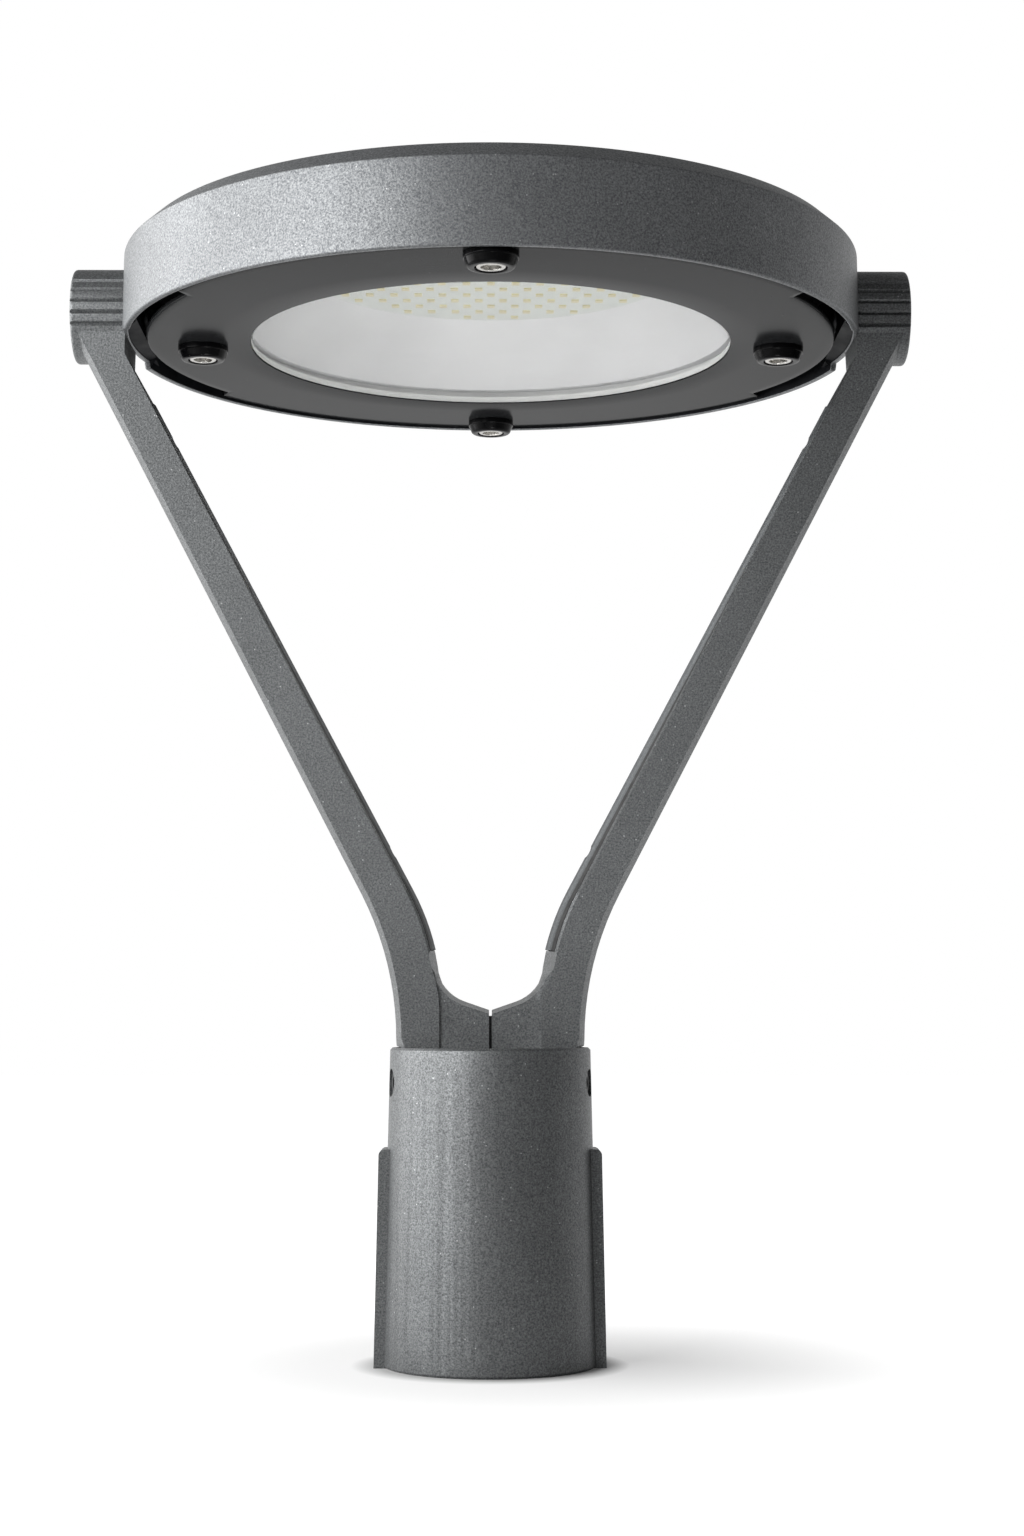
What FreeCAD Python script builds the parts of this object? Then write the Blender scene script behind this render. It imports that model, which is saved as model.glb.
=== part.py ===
import FreeCAD, Part
import math
import os
import types
import Sketcher

# Post top light: a round head between two cast arms on a collar that slips over a pole.
# Millimetres, +Z up, origin at the centre of the collar's lower face, front towards -Y.

sizes = {
    # collar that slips over the pole
    "collar_height": 158.0,
    "collar_base_r": 54.0,
    "collar_top_r": 50.6,
    "pole_r": 44.5,
    "pole_clearance": 0.5,
    "socket_depth": 100.0,
    "socket_lead": 1.5,
    "stop_thickness": 6.0,
    "wire_hole_r": 18.0,
    "mouth_wall": 3.0,
    "collar_edge": 1.2,
    "rib_width": 25.0,
    "rib_height": 107.5,
    "rib_base_stand": 3.8,
    "rib_draft": 2.0,
    "rib_corner": 3.0,
    "rib_root": 4.5,
    # screws of the collar
    "lock_drop": 17.5,
    "lock_turn": 12.0,
    "lock_head_r": 6.7,
    "lock_head_height": 3.2,
    "lock_shank_r": 4.0,
    "lock_shank_length": 9.0,
    "lock_socket_r": 3.0,
    "lock_socket_depth": 1.8,
    "lock_seat": 1.1,
    "lock_clearance": 0.3,
    "set_screw_r": 5.0,
    "set_screw_length": 9.0,
    "set_screw_socket_r": 2.6,
    "set_screw_socket_depth": 4.0,
    "set_screw_back": 0.4,
    "set_screw_low": 32.0,
    "set_screw_high": 78.0,
    "grommet_wall": 6.0,
    "grommet_lip": 3.0,
    "grommet_lip_height": 2.0,
    "grommet_clearance": 0.4,
    # arms
    "foot_clearance": 0.3,
    "foot_wall": 12.6,
    "foot_lid": 6.0,
    "foot_below_mouth": 2.0,
    "split_gap": 1.4,
    "arm_set_in": 0.1,
    "bar_width": 21.7,
    "arm_depth": 41.2,
    "web_recess": 1.5,
    "outer_bend_rise": 3.8,
    "outer_bend_r": 159.0,
    "inner_bend_rise": 20.0,
    "inner_bend_r": 125.0,
    "inner_meet": 6.5,
    "outer_meet": 2.3,
    "bevel_across": 2.9,
    "bevel_deep": 9.0,
    "trim_reach": 20.0,
    "trim_rise": 60.0,
    "crotch_rise": 18.85,
    "crotch_slope": 19.0,
    "crotch_run": 12.2,
    "crotch_r": 21.8,
    "crotch_end_slope": 80.8,
    "joint_offset": 5.0,
    "joint_width": 4.0,
    "joint_reach": 1.2,
    "joint_clearance": 0.3,
    "joint_drop": 3.0,
    "wire_way_r": 4.0,
    # knuckles
    "barrel_rise": 17.2,
    "barrel_r": 24.2,
    "barrel_length": 28.2,
    "barrel_edge": 1.8,
    "flute_start": 22.0,
    "flute_pitch": 14.3,
    "flute_count": 5,
    "flute_width": 2.4,
    "flute_depth": 1.3,
    "seat_sink": 2.6,
    "seat_clearance": 0.5,
    # wire channel and its cover
    "channel_width": 16.0,
    "channel_depth": 10.5,
    "channel_end_turn": 2.0,
    "channel_end_gap": 6.0,
    "cover_width": 37.0,
    "cover_thickness": 3.1,
    "cover_proud": 0.6,
    "cover_clearance": 0.3,
    "cover_end_turn": 0.2,
    "cover_start_turn": 13.4,
    "cover_top_gap": 26.3,
    "tongue_height": 2.0,
    "tongue_clearance": 0.2,
    "tongue_end_turn": 0.4,
    "tongue_end_gap": 0.6,
    "cover_screw_r": 1.5,
    "cover_screw_head_r": 3.0,
    "cover_screw_head_height": 1.6,
    "cover_screw_sink": 0.2,
    "cover_screw_grip": 5.0,
    "cover_screw_end_gap": 22.0,
    # drum of the head
    "lip_height": 517.0,
    "housing_r": 189.2,
    "housing_height": 50.6,
    "housing_draft": 0.6,
    "housing_wall": 3.2,
    "housing_edge": 9.6,
    "housing_edge_rise": 8.6,
    "ceiling_edge": 5.0,
    "lip_edge": 0.8,
    "crown": 5.0,
    "chamber_gap": 1.1,
    "chamber_wall": 4.0,
    "pad_thickness": 8.1,
    "pad_lift": 0.6,
    "pad_height": 34.0,
    "notch_half": 42.0,
    "notch_height": 3.4,
    "notch_corner": 1.5,
    "boss_r": 8.0,
    "boss_hole_depth": 16.0,
    # bezel and lens
    "bezel_recess": 1.4,
    "bezel_thickness": 2.5,
    "bezel_gap": 1.4,
    "bezel_edge": 0.6,
    "relief_depth": 7.8,
    "relief_turn": 34.0,
    "relief_slant": 2.0,
    "bezel_ring": 65.3,
    "lens_overlap": 5.0,
    "lens_thickness": 4.0,
    "lens_edge": 0.5,
    "gasket_thickness": 1.0,
    "seal_height": 3.0,
    "seal_inset": 0.5,
    # light engine
    "reflector_height": 33.4,
    "reflector_wall": 1.0,
    "reflector_spread": 25.7,
    "board_margin": 12.0,
    "board_thickness": 1.6,
    "chip_side": 4.0,
    "chip_height": 0.8,
    "chip_pitch": 13.0,
    "chip_margin": 7.2,
    "board_screw_ring": 7.0,
    "board_screw_r": 1.5,
    "board_screw_head_r": 3.2,
    "board_screw_head_height": 2.0,
    "board_screw_length": 5.0,
    "board_screw_count": 6,
    # supply in the drum
    "driver_length": 84.0,
    "driver_width": 27.0,
    "driver_height": 28.0,
    "driver_corner": 2.5,
    "supply_inset": 33.2,
    "bracket_thickness": 2.0,
    "bracket_tab": 7.0,
    "driver_screw_r": 1.5,
    "driver_screw_head_r": 3.2,
    "driver_screw_head_height": 2.0,
    "driver_screw_length": 5.0,
    "terminal_length": 34.0,
    "terminal_width": 20.0,
    "terminal_height": 17.0,
    "terminal_ways": 3,
    "terminal_hole_r": 2.2,
    "terminal_hole_depth": 7.0,
    "surge_r": 13.0,
    "surge_height": 25.0,
    "surge_edge": 1.5,
    # cups and screws that hold the bezel
    "knob_front_inset": 17.7,
    "knob_side_inset": 40.2,
    "knob_flange_r": 12.9,
    "knob_flange_height": 2.0,
    "knob_root_r": 11.6,
    "knob_end_r": 10.4,
    "knob_height": 6.3,
    "knob_edge": 1.2,
    "knob_cup_r": 8.4,
    "knob_floor": 2.8,
    "knob_washer_thickness": 0.8,
    "bezel_screw_r": 3.0,
    "bezel_screw_head_r": 7.9,
    "bezel_screw_head_height": 3.2,
    "bezel_screw_grip": 12.0,
    "bezel_screw_socket_r": 3.5,
    "bezel_screw_socket_depth": 2.4,
    "bezel_screw_edge": 0.6,
    "screw_clearance": 0.2,
    "screw_crown": 0.7,
    "screw_brim": 0.4,
    "hole_spare": 0.6,
    # bolts of the knuckles
    "head_bolt_r": 4.0,
    "head_bolt_head_r": 6.5,
    "head_bolt_head_height": 8.0,
    "head_bolt_socket_r": 3.4,
    "head_bolt_socket_depth": 4.0,
    "head_bolt_spare": 3.0,
    "bolt_recess_r": 9.5,
    "bolt_recess_depth": 13.0,
    "head_washer_r": 8.0,
    "head_washer_thickness": 1.6,
    "nut_flat_r": 6.5,
    "nut_height": 6.5,
    "bolt_clearance": 0.4,
}


def number(value):
    return value.value if isinstance(value, Size) else float(value)


def words(value):
    return value.text if isinstance(value, Size) else repr(float(value))


class Size:
    # a size as a number and as the text that ties it to the sheet

    def __init__(self, value, text):
        self.value = value
        self.text = text

    def __add__(self, other):
        return Size(self.value + number(other), "(%s + %s)" % (self.text, words(other)))

    def __radd__(self, other):
        return Size(number(other) + self.value, "(%s + %s)" % (words(other), self.text))

    def __sub__(self, other):
        return Size(self.value - number(other), "(%s - %s)" % (self.text, words(other)))

    def __rsub__(self, other):
        return Size(number(other) - self.value, "(%s - %s)" % (words(other), self.text))

    def __mul__(self, other):
        return Size(self.value * number(other), "(%s * %s)" % (self.text, words(other)))

    def __rmul__(self, other):
        return Size(number(other) * self.value, "(%s * %s)" % (words(other), self.text))

    def __truediv__(self, other):
        return Size(self.value / number(other), "(%s / %s)" % (self.text, words(other)))

    def __neg__(self):
        return Size(-self.value, "(0 - %s)" % self.text)


def sine(angle):
    return Size(math.sin(number(angle)), "sin(%s)" % words(angle))


def cosine(angle):
    return Size(math.cos(number(angle)), "cos(%s)" % words(angle))


def arc_sine(ratio):
    return Size(math.asin(number(ratio)), "asin(%s)" % words(ratio))


def arc_tangent(across, along):
    return Size(math.atan2(number(across), number(along)), "atan2(%s; %s)" % (words(across), words(along)))


def root(value):
    return Size(math.sqrt(number(value)), "sqrt(%s)" % words(value))


def turn(degrees):
    return Size(math.radians(number(degrees)), "(%s * 1 deg)" % words(degrees))


doc = FreeCAD.newDocument("post_top_light")
sheet = doc.addObject("Spreadsheet::Sheet", "sizes")
for row, (alias, value) in enumerate(sizes.items(), start=1):
    sheet.set("A%d" % row, alias)
    sheet.set("B%d" % row, str(value))
    sheet.setAlias("B%d" % row, alias)
doc.recompute()
s = types.SimpleNamespace(**{alias: Size(float(sheet.get(alias)), "sizes." + alias) for alias in sizes})

nodes = []
Vector = FreeCAD.Vector
Rotation = FreeCAD.Rotation
Placement = FreeCAD.Placement


# Sketch and feature helpers

def set_bound(thing, name, value):
    setattr(thing, name, number(value))
    thing.setExpression(name, words(value))


def new_body(label):
    body = doc.addObject("PartDesign::Body", label)
    body.Label = label
    return body


def new_sketch(body, plane, lift=0.0, rise=0.0, swing=None):
    # lift moves the sketch off its plane, rise moves it up in it, swing turns it about its upright axis
    sketch = body.newObject("Sketcher::SketchObject", body.Label + "_sketch")
    support = next(item for item in body.Origin.OriginFeatures if item.Role == plane)
    sketch.AttachmentSupport = [(support, "")]
    sketch.MapMode = "FlatFace"
    spin = Rotation()
    if swing is not None:
        spin = Rotation(Vector(0, 1, 0), math.degrees(number(swing)))
    across = lift * sine(swing) if swing is not None else 0.0
    along = lift * cosine(swing) if swing is not None else lift
    sketch.AttachmentOffset = Placement(Vector(number(across), number(rise), number(along)), spin)
    for axis, value in (("x", across), ("y", rise), ("z", along)):
        sketch.setExpression("AttachmentOffset.Base." + axis, words(value))
    if swing is not None:
        sketch.setExpression("AttachmentOffset.Rotation.Angle", words(swing))
    return sketch


def add_loop(sketch, corners):
    # a corner is (x, y), or (x, y, radius) where an arc arrives; a minus radius turns clockwise
    first = sketch.GeometryCount
    count = len(corners)
    ends = []
    radii = []
    for index in range(count):
        start = Vector(number(corners[index][0]), number(corners[index][1]), 0)
        target = corners[(index + 1) % count]
        stop = Vector(number(target[0]), number(target[1]), 0)
        if len(target) == 2:
            sketch.addGeometry(Part.LineSegment(start, stop), False)
            ends.append((1, 2))
            continue
        radius = number(target[2])
        chord = stop - start
        reach = math.sqrt(max(radius * radius - chord.Length ** 2 / 4.0, 0.0))
        left = Vector(-chord.y, chord.x, 0).normalize()
        centre = start + chord * 0.5 + left * (reach if radius > 0 else -reach)
        begin, finish = (start, stop) if radius > 0 else (stop, start)
        angles = [math.atan2(p.y - centre.y, p.x - centre.x) for p in (begin, finish)]
        circle = Part.Circle(centre, Vector(0, 0, 1), abs(radius))
        sketch.addGeometry(Part.ArcOfCircle(circle, angles[0], angles[1]), False)
        ends.append((1, 2) if radius > 0 else (2, 1))
        radii.append((first + index, target[2] if radius > 0 else -target[2]))
    rules = []
    for index in range(count):
        after = (index + 1) % count
        joined = (first + index, ends[index][1], first + after, ends[after][0])
        rules.append(Sketcher.Constraint("Coincident", *joined))
    bound = []
    for index, corner in enumerate(corners):
        for kind, value in (("DistanceX", corner[0]), ("DistanceY", corner[1])):
            bound.append((len(rules), value))
            rules.append(Sketcher.Constraint(kind, -1, 1, first + index, ends[index][0], number(value)))
    for index, radius in radii:
        bound.append((len(rules), radius))
        rules.append(Sketcher.Constraint("Radius", index, number(radius)))
    base = sketch.ConstraintCount
    sketch.addConstraint(rules)
    for index, value in bound:
        if isinstance(value, Size):
            sketch.setExpression("Constraints[%d]" % (base + index), value.text)


def add_circle(sketch, x, y, radius):
    circle = Part.Circle(Vector(number(x), number(y), 0), Vector(0, 0, 1), number(radius))
    index = sketch.addGeometry(circle, False)
    base = sketch.ConstraintCount
    sketch.addConstraint([
        Sketcher.Constraint("DistanceX", -1, 1, index, 3, number(x)),
        Sketcher.Constraint("DistanceY", -1, 1, index, 3, number(y)),
        Sketcher.Constraint("Radius", index, number(radius)),
    ])
    for step, value in enumerate((x, y, radius)):
        if isinstance(value, Size):
            sketch.setExpression("Constraints[%d]" % (base + step), value.text)


def revolve(body, sketch, axis="V_Axis"):
    feature = body.newObject("PartDesign::Revolution", body.Label + "_revolution")
    feature.Profile = sketch
    feature.ReferenceAxis = (sketch, [axis])
    feature.Angle = 360.0
    return feature


def pad(body, sketch, length, side="One side"):
    feature = body.newObject("PartDesign::Pad", body.Label + "_pad")
    feature.Profile = sketch
    feature.SideType = side
    set_bound(feature, "Length", length)
    return feature


def check_cut(feature):
    doc.recompute()
    if not feature.Shape.Volume < feature.BaseFeature.Shape.Volume:
        raise RuntimeError(feature.Name + " cuts nothing")
    return feature


def pocket(body, sketch, length, side="One side", flip=False):
    doc.recompute()
    feature = body.newObject("PartDesign::Pocket", body.Label + "_pocket")
    feature.Profile = sketch
    feature.SideType = side
    feature.Reversed = flip
    set_bound(feature, "Length", length)
    return check_cut(feature)


def groove(body, sketch, axis="V_Axis"):
    doc.recompute()
    feature = body.newObject("PartDesign::Groove", body.Label + "_groove")
    feature.Profile = sketch
    feature.ReferenceAxis = (sketch, [axis])
    feature.Angle = 360.0
    return check_cut(feature)


def place_of(point, way):
    # a place at a point, with the upright axis turned to point the given way
    spin = Rotation(Vector(0, 0, 1), Vector(*[number(v) for v in way]))
    return Placement(Vector(*[number(v) for v in point]), spin)


def drill(body, radius, length, point, way):
    doc.recompute()
    hole = body.newObject("PartDesign::SubtractiveCylinder", body.Label + "_hole")
    set_bound(hole, "Radius", radius)
    set_bound(hole, "Height", length)
    hole.Placement = place_of(point, way)
    return check_cut(hole)


def turn_copies(body, features, count):
    # copies of features spread evenly about the upright axis
    doc.recompute()
    pattern = body.newObject("PartDesign::PolarPattern", body.Label + "_pattern")
    pattern.Originals = features
    axis = next(item for item in body.Origin.OriginFeatures if item.Role == "Z_Axis")
    pattern.Axis = (axis, [""])
    pattern.Angle = 360.0
    pattern.Occurrences = count
    body.Tip = pattern
    doc.recompute()
    return pattern


def turned(label, corners):
    # a round piece about the upright axis
    body = new_body(label)
    sketch = new_sketch(body, "XZ_Plane")
    add_loop(sketch, corners)
    revolve(body, sketch)
    return body


def node(thing, label=None):
    thing.Label = label or thing.Label
    nodes.append(thing)
    return thing


def group(label, body, places):
    # alike loose pieces in one node; a place is a point and the way the piece's upright axis points
    doc.recompute()
    copies = []
    for point, way in places:
        copy = body.Shape.copy()
        copy.Placement = place_of(point, way)
        copies.append(copy)
    thing = doc.addObject("Part::Feature", label)
    thing.Shape = Part.makeCompound(copies)
    return node(thing)


# Levels and radii that several pieces share

socket_r = s.pole_r + s.pole_clearance
stop_top = s.socket_depth + s.stop_thickness
grommet_seat = s.socket_depth + s.grommet_lip_height + s.grommet_clearance
grommet_lip_r = s.wire_hole_r + s.grommet_lip
mouth_r = s.collar_top_r - s.mouth_wall
foot_r = mouth_r - s.foot_clearance
foot_hole_r = foot_r - s.foot_wall
foot_top = s.collar_height - s.foot_below_mouth
barrel_z = s.lip_height + s.barrel_rise
seat_x = s.housing_r - s.seat_sink
barrel_end_x = seat_x + s.barrel_length
bezel_low = s.lip_height + s.bezel_recess
bezel_top = bezel_low + s.bezel_thickness
glass_low = bezel_top + s.gasket_thickness
glass_top = glass_low + s.lens_thickness
board_low = glass_top + s.reflector_height
ceiling = board_low + s.board_thickness
drum_top = s.lip_height + s.housing_height
lock_height = s.collar_height - s.lock_drop
pad_face_x = seat_x - s.pad_thickness
lens_opening_r = s.housing_r - s.bezel_ring
lens_r = lens_opening_r + s.lens_overlap
chamber_r = lens_r + s.chamber_gap
chamber_wall_r = chamber_r + s.chamber_wall
board_view_r = lens_opening_r - s.reflector_spread
chamber_end = bezel_top + s.seal_height
knob_front_r = s.housing_r - s.knob_front_inset
knob_side_r = s.housing_r - s.knob_side_inset
knob_places = [(0, -knob_front_r), (knob_side_r, 0), (0, knob_front_r), (-knob_side_r, 0)]


# Collar

def lock_places(reach):
    # the four access holes, just forward and back of the ribs
    places = []
    for side in (1, -1):
        for way in (1, -1):
            across = side * cosine(turn(s.lock_turn))
            along = way * sine(turn(s.lock_turn))
            places.append(((reach * across, reach * along, lock_height), (-across, -along, 0)))
    return places


def make_collar():
    edge = s.collar_edge
    body = turned("collar", [
        (socket_r + s.socket_lead, 0),
        (s.collar_base_r - edge, 0),
        (s.collar_base_r, edge),
        (s.collar_top_r, s.collar_height - edge),
        (s.collar_top_r - edge, s.collar_height),
        (mouth_r, s.collar_height),
        (mouth_r, s.socket_depth),
        (socket_r, s.socket_depth),
        (socket_r, s.socket_lead),
    ])
    root_x = s.collar_base_r - s.rib_root
    reach = s.collar_base_r + s.rib_base_stand
    sketch = new_sketch(body, "XZ_Plane")
    add_loop(sketch, [
        (root_x, 0),
        (reach, 0),
        (reach - s.rib_draft, s.rib_height - s.rib_corner),
        (reach - s.rib_draft - s.rib_corner, s.rib_height, s.rib_corner),
        (root_x, s.rib_height),
    ])
    turn_copies(body, [pad(body, sketch, s.rib_width, "Symmetric")], 2)
    holes = []
    for way in (1, -1):
        sketch = new_sketch(body, "YZ_Plane", swing=way * turn(s.lock_turn))
        add_circle(sketch, 0, lock_height, s.lock_head_r + s.lock_clearance)
        holes.append(pocket(body, sketch, s.collar_base_r, flip=True))
    sketch = new_sketch(body, "YZ_Plane")
    for height in (s.set_screw_low, s.set_screw_high):
        add_circle(sketch, 0, height, s.set_screw_r)
    holes.append(pocket(body, sketch, reach + s.rib_root, flip=True))
    turn_copies(body, holes, 2)
    return node(body)


def make_collar_screws():
    # low headed screws that lock the feet, with a hex recess in the head
    head = s.lock_head_height
    screw = turned("arm_lock_screw", [
        (0, s.lock_socket_depth - head),
        (s.lock_socket_r, s.lock_socket_depth - head),
        (s.lock_socket_r, -head),
        (s.lock_head_r, -head),
        (s.lock_head_r, 0),
        (s.lock_shank_r, 0),
        (s.lock_shank_r, s.lock_shank_length),
        (0, s.lock_shank_length),
    ])
    group("arm_lock_screws", screw, lock_places(foot_r - s.lock_seat))
    # set screws that grip the pole, drawn back just clear of the socket
    screw = turned("pole_set_screw", [
        (0, s.set_screw_socket_depth),
        (s.set_screw_socket_r, s.set_screw_socket_depth),
        (s.set_screw_socket_r, 0),
        (s.set_screw_r, 0),
        (s.set_screw_r, s.set_screw_length),
        (0, s.set_screw_length),
    ])
    start = socket_r + s.set_screw_back + s.set_screw_length
    places = []
    for side in (1, -1):
        for height in (s.set_screw_low, s.set_screw_high):
            places.append(((side * start, 0, height), (-side, 0, 0)))
    group("pole_set_screws", screw, places)


def make_stop():
    # plate on the shoulder over the socket: the pole's end meets it, and the arms' feet hold it down
    recess_r = grommet_lip_r + s.grommet_clearance
    node(turned("stop_plate", [
        (s.wire_hole_r, grommet_seat),
        (recess_r, grommet_seat),
        (recess_r, s.socket_depth),
        (foot_r, s.socket_depth),
        (foot_r, stop_top),
        (s.wire_hole_r, stop_top),
    ]))
    # bush for the wires, its lower lip in a recess of the plate, clear of the pole's end
    hole = s.wire_hole_r - s.grommet_wall
    node(turned("wire_grommet", [
        (hole, grommet_seat - s.grommet_lip_height),
        (grommet_lip_r, grommet_seat - s.grommet_lip_height),
        (grommet_lip_r, grommet_seat),
        (s.wire_hole_r, grommet_seat),
        (s.wire_hole_r, stop_top),
        (grommet_lip_r, stop_top),
        (grommet_lip_r, stop_top + s.grommet_lip_height),
        (hole, stop_top + s.grommet_lip_height),
    ]))


# Arms, drawn for the +X side and turned half round for the other

outer_x = foot_r - s.arm_set_in
inner_x = outer_x - s.bar_width
inner_target = (seat_x, s.lip_height - s.inner_meet)
outer_target = (barrel_end_x - s.barrel_edge, s.lip_height + s.outer_meet)


def bend(x, z, radius, target):
    # arc that leaves an upright line at (x, z) outwards and runs on tangent to a line to the target
    centre = (x + radius, z)
    across = target[0] - centre[0]
    along = target[1] - centre[1]
    reach = root(across * across + along * along)
    lean = arc_tangent(across, along) + arc_sine(radius / reach)
    return centre, lean


def on_bend(centre, radius, angle):
    return centre[0] - radius * cosine(angle), centre[1] + radius * sine(angle)


inner_centre, inner_lean = bend(inner_x, s.collar_height + s.inner_bend_rise, s.inner_bend_r, inner_target)
outer_centre, outer_lean = bend(outer_x, s.collar_height + s.outer_bend_rise, s.outer_bend_r, outer_target)


def arm_strip(low, high, start, stop_gap):
    # band along the arm's inner edge between two depths, counted out of the arm, minus into it
    near = s.inner_bend_r + low
    far = s.inner_bend_r + high
    top = (inner_target[0] - stop_gap * sine(inner_lean), inner_target[1] - stop_gap * cosine(inner_lean))
    return [
        on_bend(inner_centre, near, start) + (near,),
        on_bend(inner_centre, far, start),
        on_bend(inner_centre, far, inner_lean) + (-far,),
        (top[0] - high * cosine(inner_lean), top[1] + high * sine(inner_lean)),
        (top[0] - low * cosine(inner_lean), top[1] + low * sine(inner_lean)),
        on_bend(inner_centre, near, inner_lean),
    ]


def add_bar(body):
    sketch = new_sketch(body, "XZ_Plane")
    start = (outer_x, s.collar_height + s.outer_bend_rise)
    end = on_bend(outer_centre, s.outer_bend_r, outer_lean)
    add_loop(sketch, [
        (inner_x, foot_top),
        (outer_x, foot_top),
        start,
        end + (-s.outer_bend_r,),
        outer_target,
        (outer_target[0], barrel_z),
        (seat_x, barrel_z),
        inner_target,
        on_bend(inner_centre, s.inner_bend_r, inner_lean),
        (inner_x, s.collar_height + s.inner_bend_rise, s.inner_bend_r),
    ])
    bar = pad(body, sketch, s.arm_depth, "Symmetric")
    doc.recompute()
    # long bevels down the outer side, front and back
    path = [(outer_x, foot_top), start, end, outer_target]
    spots = [Vector(number(x), 0, number(z)) for x, z in path]
    names = []
    for index, edge in enumerate(bar.Shape.Edges, start=1):
        ends = [Vector(v.X, 0, v.Z) for v in edge.Vertexes]
        far = all(abs(abs(v.Y) - number(s.arm_depth) / 2) < 0.001 for v in edge.Vertexes)
        if far and all(min(point.distanceToPoint(spot) for spot in spots) < 0.001 for point in ends):
            names.append("Edge%d" % index)
    bevel = body.newObject("PartDesign::Chamfer", body.Label + "_bevel")
    bevel.Base = (bar, names)
    bevel.ChamferType = "Two distances"
    set_bound(bevel, "Size", s.bevel_deep)
    set_bound(bevel, "Size2", s.bevel_across)
    check_cut(bevel)


def add_web(body):
    # the crotch falls from the bar in a round, then runs down at a slope to the split
    gap = s.split_gap / 2
    slope = turn(s.crotch_slope)
    end_slope = turn(s.crotch_end_slope)
    low = s.collar_height + s.crotch_rise
    knee = (gap + s.crotch_run, low + s.crotch_run * sine(slope) / cosine(slope))
    high = (knee[0] + s.crotch_r * (sine(end_slope) - sine(slope)),
            knee[1] + s.crotch_r * (cosine(slope) - cosine(end_slope)))
    inside = inner_x + s.bar_width / 2
    sketch = new_sketch(body, "XZ_Plane")
    add_loop(sketch, [
        (gap, foot_top),
        (inside, foot_top),
        (inside, high[1]),
        high,
        knee + (-s.crotch_r,),
        (gap, low),
    ])
    pad(body, sketch, s.arm_depth - 2 * s.web_recess, "Symmetric")


def add_joint(body):
    # upright tongue on one side of the split and a groove for the other arm's tongue
    gap = s.split_gap / 2
    spare = s.joint_clearance
    near = s.joint_offset
    far = s.joint_offset + s.joint_width
    rise = s.collar_height + s.crotch_rise - s.joint_drop - foot_top
    sketch = new_sketch(body, "XY_Plane", lift=foot_top + spare)
    reach = gap + s.joint_reach
    add_loop(sketch, [(-reach, near), (reach, near), (reach, far), (-reach, far)])
    pad(body, sketch, rise - spare)
    sketch = new_sketch(body, "XY_Plane", lift=foot_top)
    deep = reach + spare
    add_loop(sketch, [
        (-gap, -far - spare), (deep, -far - spare), (deep, spare - near), (-gap, spare - near),
    ])
    pocket(body, sketch, rise + spare, flip=True)


def add_foot(body):
    # half ring that fills the collar's mouth, under the bar and the web
    gap = s.split_gap / 2
    outer_y = root(foot_r * foot_r - gap * gap)
    inner_y = root(foot_hole_r * foot_hole_r - gap * gap)
    sketch = new_sketch(body, "XY_Plane", lift=stop_top)
    add_loop(sketch, [
        (gap, -outer_y),
        (gap, outer_y, foot_r),
        (gap, inner_y),
        (gap, -inner_y, -foot_hole_r),
    ])
    pad(body, sketch, foot_top - stop_top)
    # the ring's top is closed, so that no rain runs in beside the web
    sketch = new_sketch(body, "XY_Plane", lift=foot_top - s.foot_lid)
    add_loop(sketch, [(gap, -outer_y), (gap, outer_y, foot_r)])
    pad(body, sketch, s.foot_lid)
    # the bar is trimmed to a cone where it leaves the mouth
    sketch = new_sketch(body, "XZ_Plane")
    add_loop(sketch, [
        (foot_r, foot_top),
        (foot_r + s.trim_reach, foot_top),
        (foot_r + s.trim_reach, s.collar_height + s.trim_rise),
        (foot_r, s.collar_height),
    ])
    groove(body, sketch)
    # flat seats and threaded holes for the lock screws
    for way in (1, -1):
        swing = way * turn(s.lock_turn)
        sketch = new_sketch(body, "YZ_Plane", lift=foot_r - s.lock_seat, swing=swing)
        add_circle(sketch, 0, lock_height, s.lock_head_r + s.lock_clearance)
        pocket(body, sketch, s.lock_seat + s.foot_clearance, flip=True)
        across = cosine(swing)
        along = sine(swing)
        reach = foot_r - s.lock_seat
        point = (reach * across, reach * along, lock_height)
        drill(body, s.lock_shank_r, s.lock_shank_length + s.hole_spare, point, (-across, -along, 0))


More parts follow.
